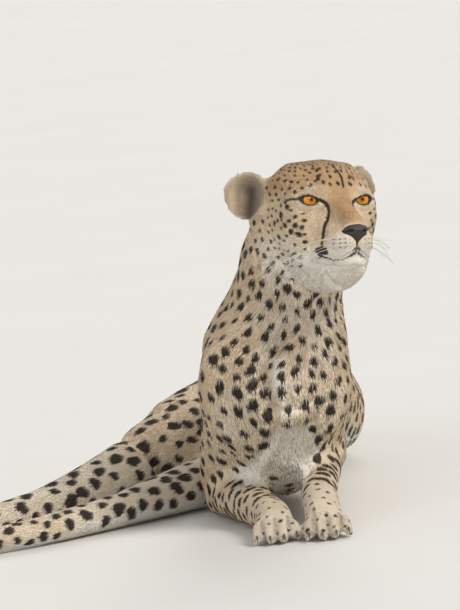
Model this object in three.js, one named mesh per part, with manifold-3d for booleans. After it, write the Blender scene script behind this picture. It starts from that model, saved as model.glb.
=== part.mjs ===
// A cheetah at rest, life size, in millimetres. +Z is up and the animal faces -Y, so its
// right side is towards -X. It lies with its chest upright between its forelegs, its rump
// rolled over on its left hip, both hind legs reaching out to its right, and its tail
// laid on the ground behind it.
//
// The flesh is a set of smooth fields that are blended where real flesh runs together,
// turned into closed meshes, and parted where a person would name the next part.
import * as THREE from 'three';
import { mergeVertices } from 'three/addons/utils/BufferGeometryUtils.js';
import Module from 'manifold-3d';

const wasm = await Module();
wasm.setup();

// ---------------------------------------------------------------- driving dimensions

const GAP = 0.3; // clearance between parts that touch
const GROUND = 0; // height of the ground that the animal lies on
const WELD = 0.05; // corners closer than this are one corner

const HEAD = {
  eyes: [130, -140, 435], // midway between the eyes
  yaw: 24.4, // degrees towards the animal's left
  pitch: 10.5, // degrees upwards
  lean: 8.5, // degrees over to its left side
};
const EYE = { apart: 76, radius: 16.5, depth: 13.5, sides: 12, rows: 8 };

// Shapes in the head's own frame. Ovals have a middle and radii, and tapers two ends and
// the radius at each. Shapes beside the middle are those of the right side.
const SKULL = {
  brain: { at: [0, -58, -2], radii: [60, 68, 62] },
  crown: { at: [37, -58, 21], radii: [35, 47, 37] },
  forehead: { at: [0, -22, 14], radii: [42, 32, 32] },
  cheekbone: { at: [38, -44, -26], radii: [34, 42, 38] },
  brow: { at: [28, -12, 15], radii: [18, 15, 11] },
  temple: { at: [44, -20, -2], radii: [22, 20, 20] },
};
const MUZZLE = {
  bridge: { from: [0, -8, -8], to: [0, 48, -36], radii: [22, 15] },
  middle: { from: [0, 2, -46], to: [0, 32, -60], radii: [35, 27] },
  whiskerPad: { from: [19, 22, -62], to: [14, 42, -61], radii: [17, 16] },
};
const JAW = {
  side: { from: [29, -34, -62], to: [8, 33, -84], radii: [25, 15] },
  chin: { at: [0, 36, -84], radii: [20, 16, 14] },
  throat: { at: [0, -38, -86], radii: [48, 54, 34] },
};
const EAR_ROOT = { from: [42, -88, 4], to: [62, -106, 8], radii: [34, 17] };
const EYE_HOLLOW = { at: [40, 8, 0], radii: [13, 8, 8] };
const HEAD_MERGE = { skull: 14, muzzle: 8, jaw: 12, under: 20, whole: 11, hollow: 6 };

// Rows of the nose go down its height. "half" is a share of its half width, and "back" is
// how far behind its tip a row lies.
const NOSE = { half: 20, top: -38, bottom: -63, tip: 67, sides: 12, flatness: 0.55 };
const NOSE_ROWS = [
  { down: -0.08, half: 0.62, back: 13 },
  { down: 0.18, half: 0.95, back: 3 },
  { down: 0.42, half: 1, back: 0 },
  { down: 0.7, half: 0.6, back: 3 },
  { down: 1, half: 0.2, back: 8 },
];

// The profile of an ear goes from the middle of its inside, out over the rim, to the
// middle of its back, as shares of its radius and of its thickness.
const EAR = {
  width: 32,
  height: 34,
  cup: 13,
  thickness: 7,
  rim: 0.6, // thickness at the rim, as a share of that in the middle
  narrowing: 0.24,
  opening: 0.12, // how far it faces upwards
  lean: [0, -0.14, 1],
  sides: 14,
};
const EAR_PROFILE = [
  { reach: 0.04, back: 0 },
  { reach: 0.6, back: 0 },
  { reach: 0.98, back: 0.1 },
  { reach: 1.03, back: 0.55 },
  { reach: 0.97, back: 1 },
  { reach: 0.6, back: 1 },
  { reach: 0.04, back: 1 },
];
const EARS = {
  right: { side: 1, centre: [91, -88, 18], facing: 50 }, // turned aside
  left: { side: -1, centre: [75, -72, 25], facing: 34 }, // pricked forwards
};
// A claw leaves its toe "ahead" of the toe's reach and at "height". "thin" and "tall" are
// shares of its radius.
const CLAW = {
  length: 15,
  sweep: 62, // degrees that it bends through
  base: 3.2,
  tip: 0.7,
  thin: 0.75,
  tall: 1.3,
  ahead: 5,
  height: 16,
  rings: 3,
  sides: 5,
};

// Sections are taken from the front of the chest to the root of the tail. "wide" and
// "deep" are half the width and half the depth; "roll" turns the back towards +X.
const TRUNK = [
  { at: [25, -62, 190], wide: 66, deep: 78, roll: 0 },
  { at: [22, 8, 166], wide: 84, deep: 134, roll: 0 },
  { at: [22, 100, 153], wide: 90, deep: 140, roll: 8 },
  { at: [28, 200, 136], wide: 88, deep: 120, roll: 25 },
  { at: [45, 310, 106], wide: 78, deep: 98, roll: 48 },
  { at: [63, 410, 86], wide: 76, deep: 86, roll: 66 },
  { at: [70, 490, 76], wide: 76, deep: 80, roll: 72 },
  { at: [74, 560, 66], wide: 50, deep: 56, roll: 72 },
];
const NECK = [
  { at: [26, 14, 235], wide: 90, deep: 94 },
  { at: [51, -15, 300], wide: 81, deep: 82 },
  { at: [62, -40, 352], wide: 72, deep: 73 },
  { at: [84, -58, 405], wide: 64, deep: 63 },
];
const BREAST = {
  left: { at: [76, -60, 186], radii: [50, 46, 78] },
  right: { at: [-28, -58, 190], radii: [48, 46, 86] },
  groove: 12,
};
const MERGE = { trunk: 34, head: 24, foreleg: 17, hindleg: 34, tail: 20 };

// Legs run from the body to the ball of the foot. "wide" lies in the plane that the leg
// bends in, and "side" points roughly along it. Cuts are counted in sections.
const FORELEGS = {
  right: {
    sections: [
      { at: [-28, 12, 262], wide: 42, deep: 34 },
      { at: [-44, -42, 198], wide: 52, deep: 40 },
      { at: [-54, 32, 118], wide: 50, deep: 36 },
      { at: [-66, 98, 36], wide: 37, deep: 33 },
      { at: [-44, 18, 34], wide: 34, deep: 34 },
      { at: [-18, -66, 28], wide: 29, deep: 29 },
      { at: [-2, -130, 26], wide: 24, deep: 25 },
      { at: [-2, -164, 23], wide: 20, deep: 25 },
    ],
    side: [0, 1, 0.4],
    heading: [0.03, -1],
    cuts: { root: 0.15, middle: 3.25, ankle: 5.9 },
  },
  left: {
    sections: [
      { at: [92, 12, 262], wide: 42, deep: 36 },
      { at: [88, -42, 198], wide: 52, deep: 42 },
      { at: [86, 28, 132], wide: 48, deep: 36 },
      { at: [83, 98, 82], wide: 36, deep: 31 },
      { at: [74, 16, 70], wide: 32, deep: 31 },
      { at: [64, -66, 52], wide: 28, deep: 28 },
      { at: [62, -140, 35], wide: 24, deep: 26 },
      { at: [65, -180, 25], wide: 20, deep: 26 },
    ],
    side: [0, 1, 0.4],
    heading: [0.05, -1],
    cuts: { root: 0.15, middle: 3.25, ankle: 5.9 },
  },
};
const HINDLEGS = {
  right: {
    sections: [
      { at: [45, 480, 106], wide: 80, deep: 58 },
      { at: [-50, 385, 88], wide: 80, deep: 54 },
      { at: [-125, 300, 70], wide: 70, deep: 46 },
      { at: [-182, 243, 54], wide: 54, deep: 40 },
      { at: [-245, 192, 41], wide: 43, deep: 33 },
      { at: [-325, 142, 31], wide: 29, deep: 24 },
      { at: [-405, 100, 26], wide: 28, deep: 21 },
      { at: [-480, 82, 21], wide: 20, deep: 19 },
      { at: [-545, 74, 19], wide: 19, deep: 22 },
    ],
    side: [-0.2, 0.75, 0.62],
    heading: [-1, -0.14],
    cuts: { root: 0.8, middle: 3, hock: 5.9, ankle: 7.5 },
  },
  left: {
    sections: [
      { at: [70, 470, 62], wide: 78, deep: 54 },
      { at: [30, 372, 54], wide: 76, deep: 50 },
      { at: [-18, 275, 46], wide: 64, deep: 44 },
      { at: [-62, 200, 38], wide: 52, deep: 39 },
      { at: [-135, 140, 31], wide: 42, deep: 32 },
      { at: [-215, 82, 24], wide: 30, deep: 25 },
      { at: [-290, 30, 22], wide: 27, deep: 22 },
      { at: [-362, -2, 20], wide: 20, deep: 19 },
      { at: [-425, -22, 18], wide: 19, deep: 22 },
    ],
    side: [-0.4, 0.9, 0.1],
    heading: [-1, -0.3],
    cuts: { root: 1.3, middle: 3, hock: 5.9, ankle: 7.5 },
  },
};
const PAW_SIZE = { fore: 0.88, hind: 0.86 };

// Toes are placed across and ahead of the ball of the foot. Each is thick from its root
// to the knuckle and thinner to its tip, with a pad under the tip.
const TOE = {
  root: { across: 0.6, ahead: -4, height: 20, radius: 15 },
  knuckle: { ahead: 0.5, height: 22, radius: 11.5 },
  tip: { height: 12.5, radius: 10.5 },
  pad: { back: 2, height: 7, radii: [9, 11, 8.5] },
};
const PAW_PAD = { at: [0, 0, 10], radii: [26, 20, 12] };
const PAW_MERGE = { leg: 9, pad: 6, toe: 4, toes: 3 };
const PAW_SINK = 1; // how far below the ground a paw's own frame starts
const TOES = [
  { across: -25, reach: 40, splay: -5 },
  { across: -9, reach: 52, splay: -1.5 },
  { across: 9, reach: 52, splay: 1.5 },
  { across: 25, reach: 40, splay: 5 },
];

const TAIL = [
  { at: [74, 545, 66], radius: 34 },
  { at: [96, 604, 44], radius: 25 },
  { at: [101, 672, 23], radius: 22 },
  { at: [52, 730, 19], radius: 20.5 },
  { at: [-30, 745, 18], radius: 19.5 },
  { at: [-110, 720, 17], radius: 18.5 },
  { at: [-170, 655, 17], radius: 17.5 },
  { at: [-185, 575, 17], radius: 18 },
  { at: [-162, 516, 16], radius: 16 },
  { at: [-150, 497, 12], radius: 7 },
];
const TAIL_CUTS = { base: 0.8, middle: 3.2, tip: 5.8 };

// The head is parted from the neck by a plane in the head's own frame, and the trunk by
// planes across it.
const HEAD_CUT = { at: [0, -98, -52], facing: [0, 0.81, 0.58] };
const TRUNK_CUTS = [
  { name: 'neck', at: [42, -5, 268], facing: [0.25, -0.45, 0.86] },
  { name: 'chest', at: [30, 185, 140], facing: [0, -1, 0] },
  { name: 'loin', at: [50, 345, 100], facing: [-0.2, -1, 0] },
];

// Grid lines of each surface, along x, y and z: a start, then a step and the end of its
// run, as often as the step changes.
const BODY_GRID = [[-258, 32.5, 196], [-160, 46, 640], [-37, 31.5, 450]];
const HEAD_GRID = [[-104, 13.9, 104], [-186, 22, -34, 12.8, 84], [-158, 19, -102, 12.7, 82]];
const PAW_GRID = [[-46, 13.2, 46], [-80, 24, -12, 16.8, 72], [-15, 16, 62]];

const LOOKS = {
  coat: { color: '#c79a62', roughness: 0.9 },
  eye: { color: '#c9801c', roughness: 0.08 },
  nose: { color: '#231c19', roughness: 0.5 },
  claw: { color: '#b9a68a', roughness: 0.45 },
};

// ---------------------------------------------------------------- small vector helpers

const add = (a, b) => [a[0] + b[0], a[1] + b[1], a[2] + b[2]];
const sub = (a, b) => [a[0] - b[0], a[1] - b[1], a[2] - b[2]];
const scale = (a, s) => [a[0] * s, a[1] * s, a[2] * s];
const dot = (a, b) => a[0] * b[0] + a[1] * b[1] + a[2] * b[2];
const cross = (a, b) => [
  a[1] * b[2] - a[2] * b[1],
  a[2] * b[0] - a[0] * b[2],
  a[0] * b[1] - a[1] * b[0],
];
const unit = (a) => scale(a, 1 / Math.hypot(...a));
const mix = (a, b, t) => a + (b - a) * t;
const radians = THREE.MathUtils.degToRad;

// ---------------------------------------------------------------- fields of flesh
// A field gives the distance from a point to a surface in millimetres, negative inside.

const union = (...fields) => (p) => Math.min(...fields.map((field) => field(p)));

function smoothMin(a, b, width) {
  const overlap = Math.max(width - Math.abs(a - b), 0) / width;
  return Math.min(a, b) - (overlap * overlap * width) / 4;
}

const blend = (width, first, ...others) => (p) =>
  others.reduce((value, field) => smoothMin(value, field(p), width), first(p));

const carve = (width, field, hole) => (p) => -smoothMin(-field(p), hole(p), width);

function ovalDistance(x, y, z, rx, ry, rz) {
  const radial = Math.hypot(x / rx, y / ry, z / rz);
  const nearest = Math.min(rx, ry, rz);
  return radial < 1e-6 ? -nearest : Math.hypot(x, y, z) * (1 - 1 / radial);
}

function oval({ at, radii }) {
  return (p) => ovalDistance(...sub(p, at), ...radii);
}

// A ball that grows or shrinks on its way from one place to another.
function taper({ from, to, radii }) {
  const along = sub(to, from);
  const lengthSquared = dot(along, along);
  return (p) => {
    const t = THREE.MathUtils.clamp(dot(sub(p, from), along) / lengthSquared, 0, 1);
    const away = sub(p, add(from, scale(along, t)));
    return Math.hypot(...away) - mix(...radii, t);
  };
}

// The same field on both sides of the plane x = 0.
const mirrored = (field) => (p) => field([Math.abs(p[0]), p[1], p[2]]);

// ---------------------------------------------------------------- limbs

const SLEEVE = { sides: 10, rings: 2 }; // sides round a limb, and rings to each of its sections
const CUTTER = { sides: 8, round: 14, past: 40 }; // how far it clears the limb, and its end
const FIELD_RINGS = 4; // rings that a field of flesh has to each section
const HEADING = 0.05; // how far each way a limb's direction is read, in sections
const RING_GAP = 0.004; // a GAP along a limb, counted in sections
const ANKLE_REACH = 0.5; // how far up its limb a paw's flesh is blended, in sections
const EAR_GAP = 1.2; // both surfaces here are faceted, so the ears keep further from the head
const WIDE_CUT = 1000; // blocks this wide part anything they meet
const LIMB_CUT = 400; // and these part a limb without reaching the next

function smoothStep(values, t) {
  const [before, start, end, after] = values;
  const linear = (end - before) / 2;
  const square = before - 2.5 * start + 2 * end - after / 2;
  const cube = (after - before) / 2 + (3 * (start - end)) / 2;
  return start + t * (linear + t * (square + t * cube));
}

// A limb is a smooth run through its sections. ringAt(t) gives the section at t, where
// whole numbers are the named sections.
function makeLimb(sections, side = [1, 0, 0]) {
  const last = sections.length - 1;
  const valueAt = (t, read) => {
    const start = Math.min(Math.floor(t), last - 1);
    const picks = [-1, 0, 1, 2].map((step) => {
      const index = THREE.MathUtils.clamp(start + step, 0, last);
      return read(sections[index]);
    });
    return smoothStep(picks, t - start);
  };
  const centreAt = (t) => [0, 1, 2].map((axis) => valueAt(t, (section) => section.at[axis]));
  const ringAt = (t) => {
    const behind = centreAt(Math.max(t - HEADING, 0));
    const ahead = centreAt(Math.min(t + HEADING, last));
    const along = unit(sub(ahead, behind));
    const roll = radians(valueAt(t, (section) => section.roll ?? 0));
    const facing = roll === 0 ? side : [Math.cos(roll), 0, -Math.sin(roll)];
    const wideAxis = unit(sub(facing, scale(along, dot(facing, along))));
    return {
      centre: centreAt(t),
      along,
      wideAxis,
      deepAxis: cross(along, wideAxis),
      wide: valueAt(t, (section) => section.wide ?? section.radius),
      deep: valueAt(t, (section) => section.deep ?? section.radius),
    };
  };
  return { last, ringAt };
}

function ringsBetween(limb, from, to, density) {
  const count = Math.max(1, Math.round((to - from) * density));
  return Array.from({ length: count + 1 }, (_, i) => limb.ringAt(mix(from, to, i / count)));
}

// The flesh of a limb between two of its sections.
function flesh(limb, from = 0, to = limb.last) {
  const rings = ringsBetween(limb, from, to, FIELD_RINGS);
  const links = rings.slice(1).map((end, i) => {
    const start = rings[i];
    const axis = sub(end.centre, start.centre);
    const length = Math.hypot(...axis);
    const along = scale(axis, 1 / length);
    const wideAxis = unit(sub(start.wideAxis, scale(along, dot(start.wideAxis, along))));
    const reach = length / 2 + Math.max(start.wide, start.deep, end.wide, end.deep);
    const middle = add(start.centre, scale(axis, 0.5));
    const deepAxis = cross(along, wideAxis);
    return { start, end, length, along, wideAxis, deepAxis, reach, middle };
  });
  return (p) => {
    let nearest = Infinity;
    for (const link of links) {
      if (Math.hypot(...sub(p, link.middle)) - link.reach > nearest) continue;
      const from = sub(p, link.start.centre);
      const t = THREE.MathUtils.clamp(dot(from, link.along) / link.length, 0, 1);
      const away = sub(from, scale(link.along, t * link.length));
      const wide = mix(link.start.wide, link.end.wide, t);
      const deep = mix(link.start.deep, link.end.deep, t);
      const distance = ovalDistance(
        dot(away, link.wideAxis),
        dot(away, link.deepAxis),
        dot(away, link.along),
        wide,
        deep,
        Math.min(wide, deep),
      );
      nearest = Math.min(nearest, distance);
    }
    return nearest;
  };
}

// ---------------------------------------------------------------- closed meshes

function toSolid(positions, triangles) {
  const mesh = new wasm.Mesh({
    numProp: 3,
    vertProperties: Float32Array.from(positions),
    triVerts: Uint32Array.from(triangles),
  });
  return new wasm.Manifold(mesh);
}

function solidOf(geometry) {
  const bare = geometry.clone();
  bare.deleteAttribute('normal');
  bare.deleteAttribute('uv');
  const merged = mergeVertices(bare, WELD);
  return toSolid(merged.attributes.position.array, merged.index.array);
}

function geometryOf(solid) {
  const { vertProperties, triVerts } = solid.getMesh();
  const geometry = new THREE.BufferGeometry();
  geometry.setAttribute('position', new THREE.BufferAttribute(vertProperties.slice(), 3));
  geometry.setIndex(new THREE.BufferAttribute(triVerts.slice(), 1));
  geometry.computeVertexNormals();
  return geometry;
}

// A cut that grazes a curved surface can leave crumbs beside the part; only the part stays.
function mainBody(solid) {
  return solid.decompose().reduce((best, piece) => (piece.volume() > best.volume() ? piece : best));
}

// Rings of equal length, from a start cap to an end cap, make one closed solid.
function loft(rings) {
  const size = rings[0].length;
  const positions = rings.flat(2);
  const triangles = [];
  for (let row = 0; row < rings.length - 1; row += 1) {
    for (let i = 0; i < size; i += 1) {
      const next = (i + 1) % size;
      const [a, b] = [row * size + i, row * size + next];
      triangles.push(a, b, b + size, a, b + size, a + size);
    }
  }
  const end = (rings.length - 1) * size;
  for (let i = 1; i < size - 1; i += 1) {
    triangles.push(0, i + 1, i, end, end + i, end + i + 1);
  }
  return toSolid(positions, triangles);
}

function ovalRing(ring, sides, margin) {
  return Array.from({ length: sides }, (_, i) => {
    const angle = (i / sides) * 2 * Math.PI;
    const wide = scale(ring.wideAxis, (ring.wide + margin) * Math.cos(angle));
    const deep = scale(ring.deepAxis, (ring.deep + margin) * Math.sin(angle));
    return add(ring.centre, add(wide, deep));
  });
}

// A length of limb as one closed solid.
function sleeve(limb, from, to, margin) {
  const rings = ringsBetween(limb, from, to, SLEEVE.rings);
  const outlines = rings.map((ring) => ovalRing(ring, SLEEVE.sides, margin));
  const lengths = outlines.slice(1).map((end, i) => loft([outlines[i], end]));
  return lengths.reduce((whole, length) => whole.add(length));
}

// A straight cutter round a length of limb, which parts it from the body.
function cutter(limb, from, to, margin) {
  const ends = [limb.ringAt(from), limb.ringAt(to)];
  const axis = unit(sub(ends[1].centre, ends[0].centre));
  const wideAxis = unit(sub(ends[0].wideAxis, scale(axis, dot(ends[0].wideAxis, axis))));
  const deepAxis = cross(axis, wideAxis);
  const past = [-margin, CUTTER.past + margin];
  const rings = ends.map((ring, i) => {
    const centre = add(ring.centre, scale(axis, past[i]));
    return ovalRing({ ...ring, centre, wideAxis, deepAxis }, CUTTER.sides, CUTTER.round + margin);
  });
  return loft(rings);
}

// A block on one side of a plane, wide enough to part anything it meets.
function halfSpace(point, normal, size) {
  const block = new THREE.BoxGeometry(size, size, size);
  block.translate(0, 0, size / 2);
  const turn = new THREE.Quaternion().setFromUnitVectors(
    new THREE.Vector3(0, 0, 1),
    new THREE.Vector3(...unit(normal)),
  );
  block.applyQuaternion(turn);
  block.translate(...point);
  return solidOf(block);
}

const CUBE_CORNERS = [0, 1, 2, 3, 4, 5, 6, 7];
const CUBE_EDGES = CUBE_CORNERS.flatMap((corner) =>
  [1, 2, 4].filter((bit) => !(corner & bit)).map((bit) => [corner, corner | bit]),
);
function edgeIndex(start, bit) {
  return CUBE_EDGES.findIndex(([a, b]) => a === start && b === (start | bit));
}
const CUBE_FACES = [[1, 2, 4], [2, 4, 1], [4, 1, 2]].flatMap(([i, j, k]) =>
  [0, k].map((base) => [base, base | i, base | i | j, base | j]),
);

// The edges of a cell that a surface crosses, grouped into the loops that it makes there.
function loopsIn(inside) {
  const group = CUBE_EDGES.map(([a, b], i) => (inside[a] === inside[b] ? -1 : i));
  const join = (a, b) => {
    const [keep, drop] = [group[a], group[b]];
    group.forEach((value, i) => {
      if (value === drop) group[i] = keep;
    });
  };
  for (const face of CUBE_FACES) {
    const sides = face.map((corner, i) => {
      const next = face[(i + 1) % 4];
      return edgeIndex(Math.min(corner, next), corner ^ next);
    });
    const crossed = sides.filter((side) => group[side] >= 0);
    if (crossed.length === 2) join(crossed[0], crossed[1]);
    if (crossed.length === 4) {
      face.forEach((corner, i) => {
        if (inside[corner]) join(sides[i], sides[(i + 3) % 4]);
      });
    }
  }
  return group;
}

const LOOPS = Array.from({ length: 256 }, (_, code) =>
  loopsIn(CUBE_CORNERS.map((corner) => Boolean(code & (1 << corner)))),
);

// Positions along one axis: from start, then each step up to the end of its run.
function ticks(start, ...runs) {
  const places = [start];
  for (let run = 0; run < runs.length; run += 2) {
    const from = places.at(-1);
    const count = Math.max(1, Math.round((runs[run + 1] - from) / runs[run]));
    for (let i = 1; i <= count; i += 1) places.push(mix(from, runs[run + 1], i / count));
  }
  return places;
}

// "probe" and "farthest" are shares of a cell.
const SETTLE = { passes: 2, probe: 0.1, farthest: 0.5, leastSlope: 0.2 };

// Moves a point onto the zero surface of a field, by at most half a cell in each pass.
function settle(field, point, cell) {
  const probe = cell * SETTLE.probe;
  let settled = point;
  for (let pass = 0; pass < SETTLE.passes; pass += 1) {
    const value = field(settled);
    const slope = [0, 1, 2].map((axis) => {
      const ahead = settled.slice();
      ahead[axis] += probe;
      return (field(ahead) - value) / probe;
    });
    const steepness = Math.max(dot(slope, slope), SETTLE.leastSlope);
    const move = scale(slope, -value / steepness);
    const limit = Math.min(1, (cell * SETTLE.farthest) / Math.max(Math.hypot(...move), 1e-9));
    settled = add(settled, scale(move, limit));
  }
  return settled;
}

// The zero surface of a field over a grid of ticks, as one vertex for each loop that the
// surface makes in each cell. "out" takes the grid's own frame to the animal's.
function surfaceOf(field, grid, out = (p) => p) {
  const count = grid.map((places) => places.length);
  const stride = [1, count[0], count[0] * count[1]];
  const cell = Math.min(...grid.map((places) => places[1] - places[0]));
  const values = new Float64Array(count[0] * count[1] * count[2]);
  const everyStep = (visit, margin) => {
    for (let k = 0; k < count[2] - margin; k += 1) {
      for (let j = 0; j < count[1] - margin; j += 1) {
        for (let i = 0; i < count[0] - margin; i += 1) visit([i, j, k], i + j * stride[1] + k * stride[2]);
      }
    }
  };
  const place = (step) => step.map((index, axis) => grid[axis][index]);
  everyStep((step, base) => {
    const atEdge = step.some((index, axis) => index === 0 || index === count[axis] - 1);
    const value = field(place(step));
    values[base] = atEdge ? Math.max(value, cell / 2) : value;
  }, 0);

  const cornerOffset = CUBE_CORNERS.map((corner) =>
    stride.reduce((sum, size, axis) => sum + (corner & (1 << axis) ? size : 0), 0),
  );
  const positions = [];
  const vertexOf = new Map();
  everyStep((step, base) => {
    const code = CUBE_CORNERS.reduce(
      (bits, corner) => bits | (values[base + cornerOffset[corner]] < 0 ? 1 << corner : 0),
      0,
    );
    const low = place(step);
    const high = place(step.map((index) => index + 1));
    const loops = new Map();
    LOOPS[code].forEach((loop, edge) => {
      if (loop < 0) return;
      const [a, b] = CUBE_EDGES[edge];
      const [va, vb] = [values[base + cornerOffset[a]], values[base + cornerOffset[b]]];
      const t = va / (va - vb);
      const crossing = [0, 1, 2].map((axis) => {
        const [from, to] = [a, b].map((corner) => (corner & (1 << axis) ? high[axis] : low[axis]));
        return mix(from, to, t);
      });
      const found = loops.get(loop) ?? { total: [0, 0, 0], edges: [] };
      found.total = add(found.total, crossing);
      found.edges.push(edge);
      loops.set(loop, found);
    });
    for (const { total, edges } of loops.values()) {
      edges.forEach((edge) => vertexOf.set(base * 12 + edge, positions.length));
      positions.push(settle(field, scale(total, 1 / edges.length), cell));
    }
  }, 1);

  const triangles = [];
  const distance = (a, b) => Math.hypot(...sub(positions[a], positions[b]));
  const addQuad = (a, b, c, d) => {
    if (distance(a, c) < distance(b, d)) triangles.push(a, b, c, a, c, d);
    else triangles.push(a, b, d, b, c, d);
  };
  for (let axis = 0; axis < 3; axis += 1) {
    const [u, v] = [(axis + 1) % 3, (axis + 2) % 3];
    everyStep((step, base) => {
      const inside = values[base] < 0;
      if (inside === values[base + stride[axis]] < 0) return;
      const around = [[1, 1], [0, 1], [0, 0], [1, 0]].map(([backU, backV]) => {
        const cellBase = base - backU * stride[u] - backV * stride[v];
        return vertexOf.get(cellBase * 12 + edgeIndex((backU << u) | (backV << v), 1 << axis));
      });
      if (inside) addQuad(...around);
      else addQuad(...around.reverse());
    }, 1);
  }
  return toSolid(positions.flatMap(out), triangles);
}

// ---------------------------------------------------------------- the head
// Inside the head, x is towards the animal's right, y forward and z up, from midway
// between the eyes.

const headTurn = new THREE.Matrix4()
  .makeRotationZ(radians(180 + HEAD.yaw))
  .multiply(new THREE.Matrix4().makeRotationX(radians(HEAD.pitch)))
  .multiply(new THREE.Matrix4().makeRotationY(radians(-HEAD.lean)));
const headAxes = [0, 1, 2].map((column) =>
  new THREE.Vector3().setFromMatrixColumn(headTurn, column).toArray(),
);
const intoHead = (p) => headAxes.map((axis) => dot(sub(p, HEAD.eyes), axis));
const outOfHead = (p) =>
  headAxes.reduce((sum, axis, i) => add(sum, scale(axis, p[i])), HEAD.eyes);

const skull = blend(
  HEAD_MERGE.skull,
  oval(SKULL.brain),
  mirrored(oval(SKULL.crown)),
  oval(SKULL.forehead),
  mirrored(oval(SKULL.cheekbone)),
  mirrored(oval(SKULL.brow)),
  mirrored(oval(SKULL.temple)),
);
const muzzle = blend(
  HEAD_MERGE.muzzle,
  taper(MUZZLE.bridge),
  taper(MUZZLE.middle),
  mirrored(taper(MUZZLE.whiskerPad)),
);
const jaw = blend(HEAD_MERGE.jaw, mirrored(taper(JAW.side)), oval(JAW.chin));
const skullAndJaw = blend(HEAD_MERGE.under, skull, jaw, oval(JAW.throat));
const earRoots = mirrored(taper(EAR_ROOT));
const headShape = carve(
  HEAD_MERGE.hollow,
  blend(HEAD_MERGE.whole, skullAndJaw, muzzle, earRoots),
  mirrored(oval(EYE_HOLLOW)),
);
const headFlesh = (p) => headShape(intoHead(p));

function eyeSolid(side, margin) {
  const ball = new THREE.SphereGeometry(EYE.radius + margin, EYE.sides, EYE.rows);
  ball.translate(...outOfHead([(side * EYE.apart) / 2, -EYE.depth, 0]));
  return solidOf(ball);
}

// The bare pad round the nostrils: broad on top, drawn in to a stem at the lip.
function noseSolid(margin) {
  const rings = NOSE_ROWS.map((row, index) => {
    const outwards = { 0: margin, [NOSE_ROWS.length - 1]: -margin }[index] ?? 0;
    const z = mix(NOSE.top, NOSE.bottom, row.down) + outwards;
    const rowHalf = row.half * NOSE.half;
    const half = rowHalf + margin;
    return Array.from({ length: NOSE.sides }, (_, i) => {
      const angle = (-i / NOSE.sides) * 2 * Math.PI;
      const bulge = (Math.sin(angle) - 1) * rowHalf * NOSE.flatness;
      const forward = bulge + Math.sin(angle) * margin;
      return outOfHead([half * Math.cos(angle), NOSE.tip - row.back + forward, z]);
    });
  });
  return loft(rings);
}

// An ear is a round cup, thin at its rim, that opens forwards and outwards.
function earSolid(ear) {
  const facing = radians(ear.facing);
  const opening = unit([ear.side * Math.sin(facing), Math.cos(facing), EAR.opening]);
  const upright = unit(sub(EAR.lean, scale(opening, dot(EAR.lean, opening))));
  const across = cross(upright, opening);
  const centre = [ear.side * ear.centre[0], ear.centre[1], ear.centre[2]];
  const rings = EAR_PROFILE.map(({ reach, back }) =>
    Array.from({ length: EAR.sides }, (_, i) => {
      const angle = (-i / EAR.sides) * 2 * Math.PI;
      const thickness = EAR.thickness * mix(1, EAR.rim, reach);
      const depth = EAR.cup * (1 - reach ** 2) + back * thickness;
      const width = EAR.width * (1 + EAR.narrowing * Math.sin(angle));
      const flat = add(
        scale(across, width * reach * Math.cos(angle)),
        scale(upright, EAR.height * reach * Math.sin(angle)),
      );
      return outOfHead(add(add(centre, flat), scale(opening, -depth)));
    }),
  );
  return loft(rings);
}

// ---------------------------------------------------------------- paws
// A paw has its own frame: x across it, y forward and z up, from the ball of the foot.

function pawFrame(limb, heading, size) {
  const ball = limb.ringAt(limb.last).centre;
  const forward = unit([...heading, 0]);
  const across = [forward[1], -forward[0], 0];
  const origin = [ball[0], ball[1], GROUND - PAW_SINK];
  return {
    size,
    into: (p) => {
      const away = scale(sub(p, origin), 1 / size);
      return [dot(away, across), dot(away, forward), away[2]];
    },
    out: (p) => {
      const flat = add(scale(across, p[0] * size), scale(forward, p[1] * size));
      return add(origin, add(flat, [0, 0, p[2] * size]));
    },
  };
}

function toeFlesh({ across, reach, splay }) {
  const { root, knuckle, tip, pad } = TOE;
  const rootAt = [across * root.across, root.ahead, root.height];
  const knuckleAt = [across, reach * knuckle.ahead, knuckle.height];
  const tipAt = [across + splay, reach, tip.height];
  const padAt = [across + splay, reach - pad.back, pad.height];
  return blend(
    PAW_MERGE.toe,
    taper({ from: rootAt, to: knuckleAt, radii: [root.radius, knuckle.radius] }),
    taper({ from: knuckleAt, to: tipAt, radii: [knuckle.radius, tip.radius] }),
    oval({ at: padAt, radii: pad.radii }),
  );
}

const toes = blend(PAW_MERGE.toes, ...TOES.map(toeFlesh));
const pawFlesh = blend(PAW_MERGE.pad, toes, oval(PAW_PAD));

// A blunt hook that comes out over the tip of its toe and bends down to the ground.
function clawSolid(frame, toe, margin) {
  const root = [toe.across + toe.splay, toe.reach + CLAW.ahead, CLAW.height];
  const rings = Array.from({ length: CLAW.rings }, (_, row) => {
    const t = row / (CLAW.rings - 1);
    const bend = t * radians(CLAW.sweep);
    const radius = mix(CLAW.base, CLAW.tip, t) + margin;
    const forward = CLAW.length * Math.sin(bend);
    const drop = CLAW.length * (1 - Math.cos(bend));
    return Array.from({ length: CLAW.sides }, (_, i) => {
      const angle = (-i / CLAW.sides) * 2 * Math.PI;
      const rise = radius * CLAW.tall * Math.sin(angle);
      return frame.out([
        root[0] + radius * CLAW.thin * Math.cos(angle),
        root[1] + forward + rise * Math.sin(bend),
        root[2] - drop + rise * Math.cos(bend),
      ]);
    });
  });
  return loft(rings);
}

// ---------------------------------------------------------------- the whole animal

const trunk = makeLimb(TRUNK);
const neck = makeLimb(NECK);
const tail = makeLimb(TAIL, [0, 0, 1]);

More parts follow.
